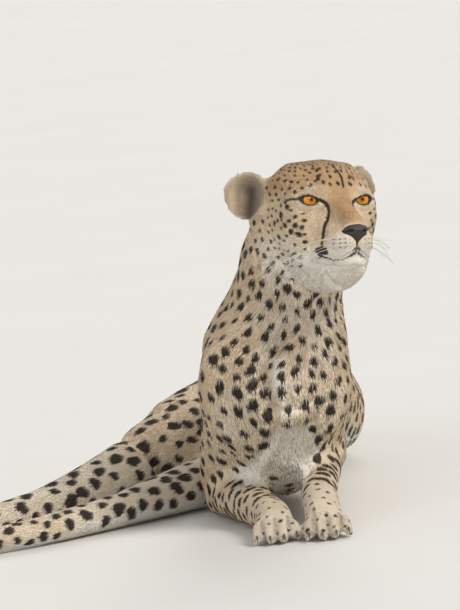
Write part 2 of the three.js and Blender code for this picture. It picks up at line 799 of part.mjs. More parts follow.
const legs = [];
for (const [end, pair] of Object.entries({ fore: FORELEGS, hind: HINDLEGS })) {
  for (const [side, leg] of Object.entries(pair)) {
    const limb = makeLimb(leg.sections, leg.side);
    const frame = pawFrame(limb, leg.heading, PAW_SIZE[end]);
    legs.push({ name: `${end}_${side}`, end, limb, frame, cuts: leg.cuts });
  }
}
const NAMES = {
  fore: { upper: 'upper_arm', lower: 'forearm' },
  hind: { upper: 'thigh', lower: 'shank' },
};

// The part of a field that lies behind a plane across a limb.
function endedAt(field, limb, t) {
  const { centre, along } = limb.ringAt(t);
  return (p) => Math.max(field(p), dot(sub(p, centre), along));
}

const breast = blend(
  BREAST.groove,
  oval(BREAST.left),
  oval(BREAST.right),
);
const core = blend(MERGE.trunk, flesh(trunk), flesh(neck), breast);
const headAndNeck = blend(MERGE.head, core, headFlesh);
const body = union(
  ...legs.map(({ end, limb, cuts }) => {
    const upper = flesh(limb, 0, cuts.middle);
    // The foreleg doubles back at its elbow, so only the hind leg can be ended by a plane.
    if (end === 'fore') return blend(MERGE.foreleg, core, upper);
    return blend(MERGE.hindleg, core, endedAt(upper, limb, cuts.middle));
  }),
  blend(MERGE.tail, core, endedAt(flesh(tail, 0, TAIL_CUTS.base), tail, TAIL_CUTS.base)),
  headAndNeck,
);

const groundBlock = halfSpace([0, 0, GROUND], [0, 0, -1], 3 * WIDE_CUT);
const parts = new Map();

function addPart(name, solid, look) {
  const cut = mainBody(solid.subtract(groundBlock));
  parts.set(name, { solid: mainBody(solidOf(geometryOf(cut))), look });
}

function pastRing(limb, t) {
  const { centre, along } = limb.ringAt(t);
  return halfSpace(centre, along, LIMB_CUT);
}

function inFrontOf({ at, facing }, clearance) {
  return halfSpace(add(at, scale(unit(facing), clearance)), facing, WIDE_CUT);
}

const headPlane = {
  at: outOfHead(HEAD_CUT.at),
  facing: sub(outOfHead(HEAD_CUT.facing), outOfHead([0, 0, 0])),
};

function addLowerLeg({ name, end, limb, frame, cuts }) {
  const lowerEnd = cuts.hock ?? cuts.ankle;
  addPart(`${NAMES[end].lower}_${name}`, sleeve(limb, cuts.middle, lowerEnd - RING_GAP, 0), 'coat');
  if (cuts.hock) {
    addPart(`metatarsus_${name}`, sleeve(limb, cuts.hock, cuts.ankle - RING_GAP, 0), 'coat');
  }
  const ankle = flesh(limb, cuts.ankle - ANKLE_REACH);
  const field = blend(PAW_MERGE.leg, ankle, (p) => pawFlesh(frame.into(p)) * frame.size);
  const grid = PAW_GRID.map((runs) => ticks(...runs));
  let paw = surfaceOf((p) => field(frame.out(p)), grid, frame.out);
  paw = paw.intersect(pastRing(limb, cuts.ankle));
  TOES.forEach((toe, i) => {
    addPart(`claw_${name}_${i + 1}`, clawSolid(frame, toe, 0), 'claw');
    paw = paw.subtract(clawSolid(frame, toe, GAP));
  });
  addPart(`paw_${name}`, paw, 'coat');
}

function addBody() {
  let rest = surfaceOf(body, BODY_GRID.map((runs) => ticks(...runs)));
  rest = rest.subtract(inFrontOf(headPlane, 0));
  for (const { name, end, limb, cuts } of legs) {
    const lower = parts.get(`${NAMES[end].lower}_${name}`).solid;
    rest = rest.subtract(sleeve(limb, cuts.middle, cuts.hock ?? cuts.ankle, GAP)).subtract(lower);
  }
  for (const { name, end, limb, cuts } of legs) {
    const upper = rest.intersect(cutter(limb, cuts.root, cuts.middle, 0));
    addPart(`${NAMES[end].upper}_${name}`, upper, 'coat');
    rest = rest.subtract(cutter(limb, cuts.root, cuts.middle, GAP));
  }
  rest = rest.subtract(sleeve(tail, TAIL_CUTS.base, TAIL_CUTS.base + 1, GAP));
  for (const cut of TRUNK_CUTS) {
    addPart(cut.name, rest.intersect(inFrontOf(cut, 0)), 'coat');
    rest = rest.subtract(inFrontOf(cut, -GAP));
  }
  addPart('rump', rest, 'coat');
}

function addTail() {
  const { base, middle, tip } = TAIL_CUTS;
  addPart('tail_base', sleeve(tail, base, middle - RING_GAP, 0), 'coat');
  addPart('tail_middle', sleeve(tail, middle, tip - RING_GAP, 0), 'coat');
  addPart('tail_tip', sleeve(tail, tip, tail.last, 0), 'coat');
}

function addHead() {
  const grid = HEAD_GRID.map((runs) => ticks(...runs));
  const inOwnFrame = (margin) => (p) => headAndNeck(outOfHead(p)) - margin;
  let head = surfaceOf(inOwnFrame(0), grid, outOfHead).intersect(inFrontOf(headPlane, GAP));
  const grown = surfaceOf(inOwnFrame(EAR_GAP), grid, outOfHead);
  addPart('nose', noseSolid(0), 'nose');
  head = head.subtract(noseSolid(GAP));
  for (const [name, ear] of Object.entries(EARS)) {
    addPart(`eye_${name}`, eyeSolid(ear.side, 0), 'eye');
    addPart(`ear_${name}`, earSolid(ear).subtract(grown), 'coat');
    head = head.subtract(eyeSolid(ear.side, GAP));
  }
  addPart('head', head, 'coat');
}

addHead();
legs.forEach(addLowerLeg);
addTail();
addBody();

const model = new THREE.Group();
const everything = new THREE.Box3();
for (const [name, { solid, look }] of parts) {
  const mesh = new THREE.Mesh(geometryOf(solid), new THREE.MeshStandardMaterial(LOOKS[look]));
  mesh.name = name;
  model.add(mesh);
  everything.expandByObject(mesh);
}
const middle = everything.getCenter(new THREE.Vector3());
model.position.set(-middle.x, -middle.y, -everything.min.z);

export default model;
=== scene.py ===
"""A life-size cheetah at rest: one skin over the CAD flesh, eyes, claws, whiskers and a short coat.

The skin is the CAD's flesh joined, smoothed, drawn in by the coat's depth and modelled.
The coat is tufts of solid hair rooted on the skin. Both carry the same markings and painted
shade, which are worked out from landmarks on the CAD and stored as numbers at each point.
"""

import functools
import itertools
import math
from contextlib import contextmanager

import bmesh
import bpy
import numpy as np
from mathutils import Matrix, Vector
from mathutils.kdtree import KDTree


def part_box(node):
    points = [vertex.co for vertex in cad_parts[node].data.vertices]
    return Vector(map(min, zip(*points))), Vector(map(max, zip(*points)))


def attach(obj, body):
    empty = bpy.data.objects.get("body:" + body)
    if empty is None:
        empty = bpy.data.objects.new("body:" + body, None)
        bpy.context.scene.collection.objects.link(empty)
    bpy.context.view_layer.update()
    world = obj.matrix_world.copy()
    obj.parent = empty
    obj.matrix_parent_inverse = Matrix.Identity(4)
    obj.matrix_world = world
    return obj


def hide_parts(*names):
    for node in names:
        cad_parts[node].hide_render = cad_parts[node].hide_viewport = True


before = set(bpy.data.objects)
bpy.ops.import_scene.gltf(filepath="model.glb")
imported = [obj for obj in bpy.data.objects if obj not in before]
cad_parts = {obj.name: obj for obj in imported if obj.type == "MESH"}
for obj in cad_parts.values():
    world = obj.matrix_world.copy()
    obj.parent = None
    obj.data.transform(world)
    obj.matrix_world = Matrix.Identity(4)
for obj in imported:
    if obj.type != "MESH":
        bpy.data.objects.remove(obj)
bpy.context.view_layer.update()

MM = 0.001
rng = np.random.default_rng(11)

# ---- sizes, in metres

HEAD_TURN = (24.4, 10.5, -8.5)  # yaw, pitch and lean of the head, in degrees, as in the CAD
EYE_DEPTH = 13.5 * MM  # eye centres behind the plane between the eyes
EYE_RADIUS = 16.5 * MM
VOXEL = 3.2 * MM
OVERLAP = 0.5 * MM  # closes the CAD's clearances before the flesh is joined

# For each kind of flesh, in millimetres: how deep its coat is, and how much the skin's facets
# are smoothed; how far apart spots are, their radius and their length for their width; and
# the length, width and lift in degrees of its tufts.
COLUMNS = ("depth", "smooth", "apart", "radius", "stretch", "length", "width", "lift")
KINDS = {
    "head": (2, 0.16, 9.5, 2.5, 1.1, 3.8, 1.1, 7),
    "ear": (0.4, 0.25, 30, 0.5, 1, 2.4, 0.95, 4),
    "neck": (6, 0.8, 16, 5.6, 1.2, 7.2, 1.45, 6),
    "chest": (6, 1, 19.8, 7.3, 1, 6.8, 1.5, 5),
    "loin": (4, 1, 20.5, 7.8, 1.1, 7.4, 1.6, 5),
    "rump": (4, 1, 21, 8.1, 1.1, 7.4, 1.6, 5),
    "upper_arm": (3.5, 0.7, 19, 7.1, 1.05, 6.4, 1.5, 5),
    "forearm": (3, 0.4, 14.8, 6.7, 0.55, 5.2, 1.4, 5),
    "paw": (1.6, 0.05, 13, 2.7, 0.8, 3.6, 1.2, 7),
    "thigh": (3.5, 1, 21, 8.3, 1.1, 7.4, 1.6, 5),
    "shank": (3, 0.9, 20.5, 8.5, 1, 6.2, 1.5, 5),
    "metatarsus": (2.5, 0.3, 18, 6.9, 0.9, 5, 1.4, 5),
    "tail": (4, 0.25, 19, 7, 0.9, 8, 1.6, 8),
}
FAR_OFF = 99.0  # a gap where a mark or an edge isn't in reach


def unit(v):
    v = np.asarray(v, float)
    return v / np.maximum(np.linalg.norm(v, axis=-1, keepdims=True), 1e-12)


def step(low, high, x):
    """0 below low, 1 above high, and smooth between them."""
    t = np.clip((x - low) / (high - low), 0, 1)
    return t * t * (3 - 2 * t)


def bump(d):
    """A smooth hill, 1 at d = 0 and nothing from d = 1 outwards."""
    return np.where(np.abs(d) < 1, (1 - np.minimum(d * d, 1)) ** 2, 0.0)


def most(*fields):
    return functools.reduce(np.maximum, fields)


def least(*fields):
    return functools.reduce(np.minimum, fields)


def centre(node):
    low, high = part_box(node)
    return np.array((low + high) / 2)


# ---- the head's own frame
# x is towards the animal's right, y forward and z up, from midway between the eyes.


def head_axes():
    yaw, pitch, lean = (math.radians(a) for a in HEAD_TURN)
    turn = (
        Matrix.Rotation(math.pi + yaw, 3, "Z")
        @ Matrix.Rotation(pitch, 3, "X")
        @ Matrix.Rotation(lean, 3, "Y")
    )
    return np.array(turn)


HEAD_AXES = head_axes()
EYES = {side: centre(f"eye_{side}") for side in ("right", "left")}
BROW = (EYES["right"] + EYES["left"]) / 2 + HEAD_AXES[:, 1] * EYE_DEPTH


def to_head(p):
    """Points in the head's frame, in millimetres."""
    return (np.asarray(p) - BROW) @ HEAD_AXES / MM


def from_head(p):
    return np.asarray(p, float) * MM @ HEAD_AXES.T + BROW


# ---- meshes as arrays


def new_mesh(name, points, faces):
    """A mesh from an array of points and one of faces that all have as many corners."""
    mesh = bpy.data.meshes.new(name)
    mesh.vertices.add(len(points))
    mesh.vertices.foreach_set("co", np.asarray(points, np.float32).ravel())
    corners = np.asarray(faces, np.int32)
    mesh.loops.add(corners.size)
    mesh.loops.foreach_set("vertex_index", corners.ravel())
    mesh.polygons.add(len(corners))
    mesh.polygons.foreach_set(
        "loop_start", np.arange(len(corners), dtype=np.int32) * corners.shape[1]
    )
    mesh.polygons.foreach_set("use_smooth", np.ones(len(corners), bool))
    mesh.update(calc_edges=True)
    return mesh


def new_object(name, mesh):
    made = bpy.data.objects.new(name, mesh)
    bpy.context.scene.collection.objects.link(made)
    return made


@contextmanager
def edited(mesh):
    """The mesh as a bmesh, which is written back to it at the end."""
    bm = bmesh.new()
    bm.from_mesh(mesh)
    bm.verts.ensure_lookup_table()
    yield bm
    bm.to_mesh(mesh)
    bm.free()


def mesh_from(bm, name):
    mesh = bpy.data.meshes.new(name)
    bm.to_mesh(mesh)
    bm.free()
    return mesh


def applied(made):
    """The mesh of an object with its modifiers applied. The object goes."""
    evaluated = made.evaluated_get(bpy.context.evaluated_depsgraph_get())
    mesh = bpy.data.meshes.new_from_object(evaluated)
    bpy.data.objects.remove(made)
    return mesh


def bridge(bm, rings):
    """Faces between one ring of points and the next."""
    for a, b in zip(rings[:-1], rings[1:]):
        for i in range(len(a)):
            j = (i + 1) % len(a)
            bm.faces.new((a[i], a[j], b[j], b[i]))


def dress(mesh, material):
    mesh.materials.clear()
    mesh.materials.append(material)
    mesh.polygons.foreach_set("use_smooth", np.ones(len(mesh.polygons), bool))


def tree_of(points):
    tree = KDTree(len(points))
    for i, p in enumerate(points):
        tree.insert(p, i)
    tree.balance()
    return tree


def read(items, name, width, dtype=np.float32):
    values = np.empty(len(items) * width, dtype)
    items.foreach_get(name, values)
    return values.reshape(-1, width)


def points_of(mesh):
    return read(mesh.vertices, "co", 3).astype(float)


def normals_of(mesh):
    return read(mesh.vertices, "normal", 3).astype(float)


def edges_of(mesh):
    return read(mesh.edges, "vertices", 2, np.int32)


def set_points(mesh, points):
    mesh.vertices.foreach_set("co", np.asarray(points, np.float32).ravel())
    mesh.update()


def spread(values, edges, rounds, share=0.5):
    """Averages values at points with those of their neighbours, over and over."""
    values = np.asarray(values, float)
    flat = values.ndim == 1
    values = values[:, None] if flat else values
    a, b = edges.T
    count = len(values)
    degree = np.bincount(a, minlength=count) + np.bincount(b, minlength=count)
    share = np.asarray(share, float)
    share = share[:, None] if share.ndim else share
    for _ in range(rounds):
        pairs = [np.bincount(a, v[b], count) + np.bincount(b, v[a], count) for v in values.T]
        total = np.stack(pairs, axis=1)
        values = values + share * (total / np.maximum(degree, 1)[:, None] - values)
    return values[:, 0] if flat else values


def smoothed(points, edges, rounds, share):
    """Smooths points, then gives back what was lost of the large shapes."""
    soft = spread(points, edges, rounds, share)
    return soft + spread(points - soft, edges, rounds, share)


# ---- flesh joined to one skin

FLESH = [n for n in sorted(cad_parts) if not n.startswith(("claw", "eye"))]
CLAWS = [n for n in sorted(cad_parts) if n.startswith("claw")]


def kind(node):
    return next((k for k in KINDS if node.startswith(k)), "head")


def joined_flesh():
    """The flesh nodes as one mesh, each grown enough to meet its neighbours."""
    bm = bmesh.new()
    for node in FLESH:
        piece = bmesh.new()
        piece.from_mesh(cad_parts[node].data)
        bmesh.ops.remove_doubles(piece, verts=piece.verts, dist=1e-6)
        piece.normal_update()
        for v in piece.verts:
            v.co += v.normal * OVERLAP
        mesh = mesh_from(piece, "piece")
        bm.from_mesh(mesh)
        bpy.data.meshes.remove(mesh)
    for eye in EYES.values():
        bmesh.ops.create_icosphere(
            bm, subdivisions=4, radius=EYE_RADIUS + 2 * MM, matrix=Matrix.Translation(eye)
        )
    return mesh_from(bm, "flesh")


def remeshed(mesh, voxel):
    made = new_object("remesh", mesh)
    modifier = made.modifiers.new("voxels", "REMESH")
    modifier.mode = "VOXEL"
    modifier.voxel_size = voxel
    modifier.use_smooth_shade = True
    result = applied(made)
    bpy.data.meshes.remove(mesh)
    return result


def cad_index():
    """A tree of the CAD's points, and the node that each belongs to."""
    points = [points_of(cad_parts[node].data) for node in FLESH]
    owner = np.repeat(np.arange(len(FLESH)), [len(p) for p in points])
    return tree_of(np.concatenate(points)), owner


CAD_TREE, CAD_OWNER = cad_index()


def owners(points):
    """The index in FLESH of the node nearest each point."""
    return CAD_OWNER[[CAD_TREE.find(p)[1] for p in points]]


def drop_crumbs(mesh):
    """Keeps the largest connected piece of a mesh."""
    with edited(mesh) as bm:
        left, best = set(bm.verts), []
        while left:
            start = left.pop()
            group, queue = [start], [start]
            while queue:
                for e in queue.pop().link_edges:
                    found = [v for v in e.verts if v in left]
                    left.difference_update(found)
                    group += found
                    queue += found
            best = max(best, group, key=len)
        keep = set(best)
        bmesh.ops.delete(bm, geom=[v for v in bm.verts if v not in keep], context="VERTS")


def refine(mesh, inside):
    """Halves the edges between the points that are inside."""
    with edited(mesh) as bm:
        edges = [e for e in bm.edges if all(inside[v.index] for v in e.verts)]
        bmesh.ops.subdivide_edges(bm, edges=edges, cuts=1, use_grid_fill=True)


# ---- shapes on the head
# Both halves of the head are alike, so these points have x away from the middle.


def mirrored(h):
    return np.stack([np.abs(h[:, 0]), h[:, 1], h[:, 2]], 1)


def swell(h, middle, radii):
    """A hill in a box of these radii."""
    return bump(np.linalg.norm((h - middle) / radii, axis=1))


def away(h, path):
    """How far points are from a path of straight pieces."""
    path = np.asarray(path, float)
    best = np.full(len(h), 1e9)
    for a, b in zip(path[:-1], path[1:]):
        along = np.clip((h - a) @ (b - a) / ((b - a) @ (b - a)), 0, 1)
        best = np.minimum(best, np.linalg.norm(h - a - along[:, None] * (b - a), axis=1))
    return best


TEAR = [(27, 5, -1), (22, 10, -4), (19, 14, -11), (20, 16, -18)]
TEAR += [(25, 18, -29), (30, 17, -43), (34, 17, -57), (36, 20, -67)]
MOUTH = [(0, 58, -75), (5, 55, -77), (10, 53, -80), (15, 51, -82)]
MOUTH += [(21, 45, -84), (27, 32, -83), (33, 20, -78), (37, 10, -73)]
PHILTRUM = [(0, 66, -62), (0, 60, -76)]
THROAT_FOLD = [(38, 4, -96), (23, -1, -104), (10, -10, -112), (-5, -20, -116)]
JAW = [(0, 46, -100), (12, 36, -101), (23, 20, -99), (33, 8, -93), (42, -6, -86)]
NOSTRIL = (10, 64, -50)
NOSTRIL_SLIT = [(10.5, 66, -50), (17.5, 58, -52), (19.5, 52, -49)]
DEPTH_SHARE = np.array((1, 0.3, 1))  # a share of the depth, so that a path need not lie on the skin


def on_face(m, path):
    """How far points are from a path drawn on the front of the face."""
    return away(m * DEPTH_SHARE, np.asarray(path, float) * DEPTH_SHARE)


HILLS = [
    # middle, radii, height: brow, above the inner corner, cheekbone, whisker pad, chin,
    # wing of the nostril, jowl, crown
    ((37, 5, 15), (22, 22, 10), 2.6),
    ((19, 12, 12), (12, 14, 12), 1.0),
    ((62, -22, -20), (20, 30, 14), 2.0),
    ((17, 52, -66), (18, 24, 15), 2.8),
    ((0, 52, -93), (19, 20, 10), 2.0),
    ((10, 63, -50), (9, 12, 10), 1.0),
    ((58, -40, -72), (28, 40, 22), 3.0),
    ((0, -20, 48), (55, 60, 26), 2.0),
    # hollows: between the brows, beside the bridge, behind the pad, temple, throat
    ((0, 14, 10), (9, 20, 24), -1.2),
    ((27, 20, -24), (11, 18, 18), -1.6),
    ((38, 14, -50), (13, 24, 18), -1.8),
    ((66, -40, 14), (24, 30, 20), -2.0),
    ((0, 34, -118), (44, 40, 24), -6.0),
    # the crown's corners, cut back, and its middle, filled
    ((62, -20, 46), (28, 70, 26), -5.0),
    ((52, -84, 46), (28, 50, 26), -3.0),
    ((34, -12, 42), (24, 27, 20), -3.0),
    ((0, -30, 54), (34, 56, 26), 1.8),
]


def sculpt(h):
    """How far out the skin goes at points on the head."""
    m = mirrored(h)
    out = sum(height * swell(m, middle, radii) for middle, radii, height in HILLS)
    for deep, gap, wide in (
        (1.1, on_face(m, TEAR), 5),
        (2.4, on_face(m, MOUTH), 4),
        (1.8, on_face(m, PHILTRUM), 3.2),
        (5.5, away(m, JAW), 12),
        (7, away(h, THROAT_FOLD), 12),
    ):
        out -= deep * bump(gap / wide)
    out -= 6 * swell(m, NOSTRIL, (5, 14, 4.4))
    return out - 3 * bump(away(m, NOSTRIL_SLIT) / 3)


# ---- shapes on the body
# These are in millimetres from the point on the ground that the CAD is built from.

CAD_BROW = (130, -140, 435)
ORIGIN = BROW - np.array(CAD_BROW) * MM


def to_body(p):
    return (np.asarray(p) - ORIGIN) / MM


BREAST_GROOVE = [(44, -98, 262), (30, -103, 250), (18, -110, 238)]
BREAST_GROOVE += [(9, -120, 216), (7, -125, 190), (12, -125, 162)]
ARM_INNER = [(12, -125, 162), (15, -113, 137), (4, -98, 116), (-14, -74, 92), (-34, -30, 68)]
FAR_BREAST = [(14, -124, 152), (34, -120, 148), (54, -117, 148), (68, -112, 156)]
FAR_ARM_INNER = [(66, -108, 140), (62, -94, 114), (55, -80, 90), (48, -78, 70)]
RECESS, RECESS_RADII = (34, -96, 108), (36, 60, 44)
BIB = [(28, -112, 226), (24, -124, 204), (24, -128, 176), (40, -124, 160)]
RECESS_RUN = [(38, -98, 104), (12, -75, 80), (-22, -52, 56)]


def body_relief(b):
    """How far out the skin goes at points on the body."""
    out = -8.0 * bump(away(b, BREAST_GROOVE) / 18) - 6.0 * bump(away(b, ARM_INNER) / 15)
    out -= 3.0 * bump(away(b, FAR_ARM_INNER) / 12)
    out -= 13.0 * swell(b, RECESS, RECESS_RADII)
    out += 4.0 * bump(away(b, FAR_BREAST) / 16)
    breasts = 4.0 * swell(b, (-22, -112, 205), (30, 60, 60))
    breasts = breasts + 4.0 * swell(b, (52, -112, 200), (34, 60, 52))
    return out + breasts + 3.0 * swell(b, (-60, -60, 205), (50, 60, 60))


LIMBS = ("fore_right", "fore_left", "hind_right", "hind_left")


def clefts(p):
    """1 along the middle of the gaps between the toes, and 0 away from them."""
    share = np.zeros(len(p))
    for limb in LIMBS:
        tips = np.array([centre(f"claw_{limb}_{i}") for i in (1, 2, 3, 4)])
        forward = unit((tips.mean(0) - centre("paw_" + limb)) * (1, 1, 0))
        for between in (tips[1:] + tips[:-1]) / 2:
            path = np.array([between + forward * 8 * MM, between - forward * 34 * MM])
            share += bump(away(p[:, :2], path[:, :2]) / (4.8 * MM))
    return share * step(55 * MM, 40 * MM, p[:, 2])


# ---- lids
# Round each eye, X is away from the middle of the face, Y out through the opening and Z up.

LID_TURN = math.radians(9)
LID_COS, LID_SIN = math.cos(LID_TURN), math.sin(LID_TURN)
LID_AXES = np.array([(LID_COS, -LID_SIN, 0), (LID_SIN, LID_COS, 0), (0, 0, 1)])
EYE_PLACE = mirrored(to_head(EYES["right"])[None])[0]
BALL = EYE_RADIUS / MM
LID_REACH = (21, 16)
LID_RINGS, TUCKED_RINGS = 12, 4  # rings over the lid, and from its edge in under it


def to_lid(m):
    return (m - EYE_PLACE) @ LID_AXES.T


def from_lid(q):
    return q @ LID_AXES + EYE_PLACE


def rim(angle):
    """The edge of the lids at an angle round the opening."""
    c, s = np.cos(angle), np.sin(angle)
    x = np.where(c > 0, 11.5, 14.0) * c
    height = np.where(s > 0, 3.9 * np.abs(s) ** 0.9, 6.4 * np.abs(s) ** 1.3)
    z = np.sign(s) * height + 0.12 * x - 0.3
    reach = BALL + 1.5 + 4 * np.maximum(-c, 0) ** 4
    return x, z, reach


def rim_gap(m):
    """How far outside the edge of the lids points are, and how far above the middle."""
    q = to_lid(m)
    x, z, _ = rim(np.linspace(-math.pi, math.pi, 361))
    angle, far = np.arctan2(z, x), np.hypot(x, z)
    order = np.argsort(angle)
    edge = np.interp(np.arctan2(q[:, 2], q[:, 0]), angle[order], far[order])
    gap = np.hypot(q[:, 0], q[:, 2]) - edge
    return np.where((q[:, 1] > 0) & (np.linalg.norm(q, axis=1) < 40), gap, FAR_OFF), q


def rim_loop(bm, near):
    """The points round the hole that lies nearest to a place, in order."""
    edges = (e.verts[0] for e in bm.edges if e.is_boundary)
    loop, last = [min(edges, key=lambda v: np.linalg.norm(np.array(v.co) - near))], None
    while True:
        here = loop[-1]
        rim_edges = (e for e in here.link_edges if e.is_boundary)
        ahead = next(v for v in (e.other_vert(here) for e in rim_edges) if v is not last)
        if ahead is loop[0]:
            return loop
        last = here
        loop.append(ahead)


def open_lids(bm, sign):
    """Puts lids round a hole over the eye of one side."""
    flip = (sign, 1, 1)
    q = to_lid(to_head([v.co for v in bm.verts]) * flip)
    inside = (np.hypot(q[:, 0] / LID_REACH[0], q[:, 2] / LID_REACH[1]) < 1) & (q[:, 1] > -2)
    inside &= np.linalg.norm(q, axis=1) < 45
    doomed = [f for f in bm.faces if all(inside[v.index] for v in f.verts)]
    bmesh.ops.delete(bm, geom=doomed, context="FACES")
    loop = rim_loop(bm, from_head(EYE_PLACE * flip))
    outer = to_lid(to_head([v.co for v in loop]) * flip)
    angle = np.unwrap(np.arctan2(outer[:, 2], outer[:, 0]))
    turn, count = np.sign(angle[-1] - angle[0]), len(loop)
    even = angle[0] + turn * 2 * math.pi * np.arange(count) / count
    wobble = angle - even
    for _ in range(30):
        wobble = (np.roll(wobble, 1) + np.roll(wobble, -1) + 2 * wobble) / 4
    angle = even + wobble
    x, z, reach = rim(angle)
    edge = np.stack([x, np.sqrt(np.maximum(reach**2 - x**2 - z**2, 1)), z], 1)
    upper, lower = np.maximum(np.sin(angle), 0), np.maximum(-np.sin(angle), 0)
    rings = [outer]
    for t in np.arange(1, LID_RINGS + 1) / LID_RINGS:
        ring = outer + (edge - outer) * (t**0.9)
        far = np.linalg.norm(ring, axis=1)
        ring *= (np.maximum(far, BALL + 2.1 - 0.6 * t) / far)[:, None]
        fold = 1.5 * bump((t - 0.5) / 0.22) * upper + 0.7 * bump((t - 0.55) / 0.25) * lower
        puff = 0.8 * bump((t - 0.82) / 0.25) * upper
        rings.append(ring * (1 + (puff - fold) / np.linalg.norm(ring, axis=1))[:, None])
    for t in np.arange(1, TUCKED_RINGS + 1) / TUCKED_RINGS:
        ring = edge * (1 - 0.05 * t, 1, 1 - 0.05 * t)
        wanted = reach - (reach - BALL + 1.2) * t**0.8
        rings.append(ring * (wanted / np.linalg.norm(ring, axis=1))[:, None])
    made = [[bm.verts.new(p) for p in from_head(from_lid(ring) * flip)] for ring in rings[1:]]
    bridge(bm, [loop] + made)
    bmesh.ops.recalc_face_normals(bm, faces=bm.faces)


# ---- the skin


def make_skin():
    mesh = remeshed(joined_flesh(), VOXEL)
    drop_crumbs(mesh)
    for wide, back, down, tall in ((125, -125, 25, 90), (62, -12, 45, 66)):  # head, then face
        h = to_head(points_of(mesh))
        refine(mesh, (np.abs(h[:, 0]) < wide) & (h[:, 1] > back) & (np.abs(h[:, 2] + down) < tall))
    points, edges = points_of(mesh), edges_of(mesh)
    of = owners(points)
    depth = np.array([KINDS[kind(n)][0] for n in FLESH])[of] * MM
    share = np.array([KINDS[kind(n)][1] for n in FLESH])[of]
    depth, share = spread(depth, edges, 20), spread(share, edges, 12)
    points = smoothed(points, edges, 70, 0.6 * share)
    h = to_head(points)
    crown = step(22, 40, h[:, 2]) * step(110, 80, np.linalg.norm(h - (0, -50, 30), axis=1))
    points = smoothed(points, edges, 90, 0.6 * crown)
    points = spread(points, edges, 3, 0.5)
    set_points(mesh, points)
    normals = spread(normals_of(mesh), edges, 3)
    h = to_head(points)
    near = step(150, 120, np.linalg.norm(h, axis=1))
    out = (near * sculpt(h) + body_relief(to_body(points)) - 3.6 * clefts(points)) * MM
    set_points(mesh, points + unit(normals) * (out - depth)[:, None])
    for sign in (1, -1):
        with edited(mesh) as bm:
            open_lids(bm, sign)
    return mesh


skin_mesh = make_skin()
skin = new_object("skin", skin_mesh)

# ---- numbers at each point

KIND_NAMES = list(KINDS)
P, E = points_of(skin_mesh), edges_of(skin_mesh)
N = unit(spread(normals_of(skin_mesh), E, 2))
OWNER = owners(P)
OWNER_KIND = np.array([KIND_NAMES.index(kind(n)) for n in FLESH])[OWNER]
SHARE = spread(np.eye(len(KINDS))[OWNER_KIND], E, 12)


def share_of(name):
    return SHARE[:, KIND_NAMES.index(name)]


HEAD_SHARE, EAR_SHARE = share_of("head"), share_of("ear")
H = to_head(P)
M = mirrored(H)
LID_GAP, LID_Q = rim_gap(M)
MIDDLE = {n: centre(n) for n in FLESH}
UP = np.array((0, 0, 1.0))
TAIL_LOOP = np.array((MIDDLE["tail_tip"] + MIDDLE["tail_base"]) / 2) * (1, 1, 0)


def by_kind(other=0.0, **values):
    """A number at each point from one for each kind of flesh."""
    return SHARE @ np.array([values.get(k, other) for k in KINDS], float)


def column(name):
    return SHARE @ np.array([row[COLUMNS.index(name)] for row in KINDS.values()], float)


# Hair on these runs to the next part down the limb, leaning as given.
NEXT_DOWN = {
    "upper_arm": ("forearm", (0, 0.3, -0.3)),
    "forearm": ("paw", (0, 0, 0)),
    "thigh": ("shank", (0, 0.1, -0.35)),
    "shank": ("metatarsus", (0, 0.2, -0.2)),
    "metatarsus": ("paw", (0, 0, 0)),
}


def along_skin(v, n):
    """The part of each arrow that runs along the skin, made one long."""
    return unit(v - n * (v * n).sum(1)[:, None])


def lie_of_coat():
    """The way that the hair points, along the skin."""
    lie = np.zeros_like(P)
    nose = from_head((0, 72, -48))
    tail_start = np.cross(UP, MIDDLE["tail_base"] - TAIL_LOOP)
    tail_way = np.sign(tail_start @ (MIDDLE["tail_middle"] - MIDDLE["tail_base"]))
    for i, node in enumerate(FLESH):
        here = OWNER == i
        p, k = P[here], kind(node)
        limb = node[len(k) + 1 :]
        if k in NEXT_DOWN:
            below, lean = NEXT_DOWN[k]
            v = unit(MIDDLE[f"{below}_{limb}"] - MIDDLE[node]) + lean
        elif k == "paw":
            above = "forearm_" if limb.startswith("fore") else "metatarsus_"
            v = unit(MIDDLE[node] - MIDDLE[above + limb])
        elif k == "head":
            v = unit(p - nose)
        elif k == "ear":
            v = unit(p - MIDDLE["head"])
        elif k == "tail":
            v = unit(np.cross(UP, p - TAIL_LOOP)) * tail_way
        elif k == "neck":
            v = unit(MIDDLE["chest"] - MIDDLE["head"])
        elif k == "chest":
            front = step(0.2, 0.8, -N[here][:, 1])[:, None]
            v = (1 - front) * (0, 0.8, -0.55) + front * (0, -0.1, -1.0)
        else:
            v = np.array((0, 1.0, -0.3))
        lie[here] = unit(v)
    lie = along_skin(spread(lie, E, 25), N)
    return along_skin(spread(lie, E, 8), N)


LIE = lie_of_coat()


def undersides():
    """1 where the body faces the ground or its own middle, 0 on the back and outsides."""
    below = np.zeros((len(FLESH), 3))
    for i, node in enumerate(FLESH):
        k = kind(node)
        inwards = np.sign(MIDDLE["chest" if "fore" in node else "rump"][0] - MIDDLE[node][0])
        below[i] = {
            "neck": HEAD_AXES @ (0, 0.75, -0.6),
            "chest": (0, -0.75, -0.6),
            "upper_arm": (0.8 * inwards, -0.1, -0.6),
            "forearm": (0.8 * inwards, 0.3, -0.4),
            "thigh": (0.7 * inwards, -0.3, -0.7),
            "shank": (0.6 * inwards, -0.2, -0.8),
            "metatarsus": (0.6 * inwards, 0.1, -0.8),
        }.get(k, (0, 0, -1.0))
    below = spread(unit(below)[OWNER], E, 20)
    return (N * below).sum(1)


UNDER = undersides()


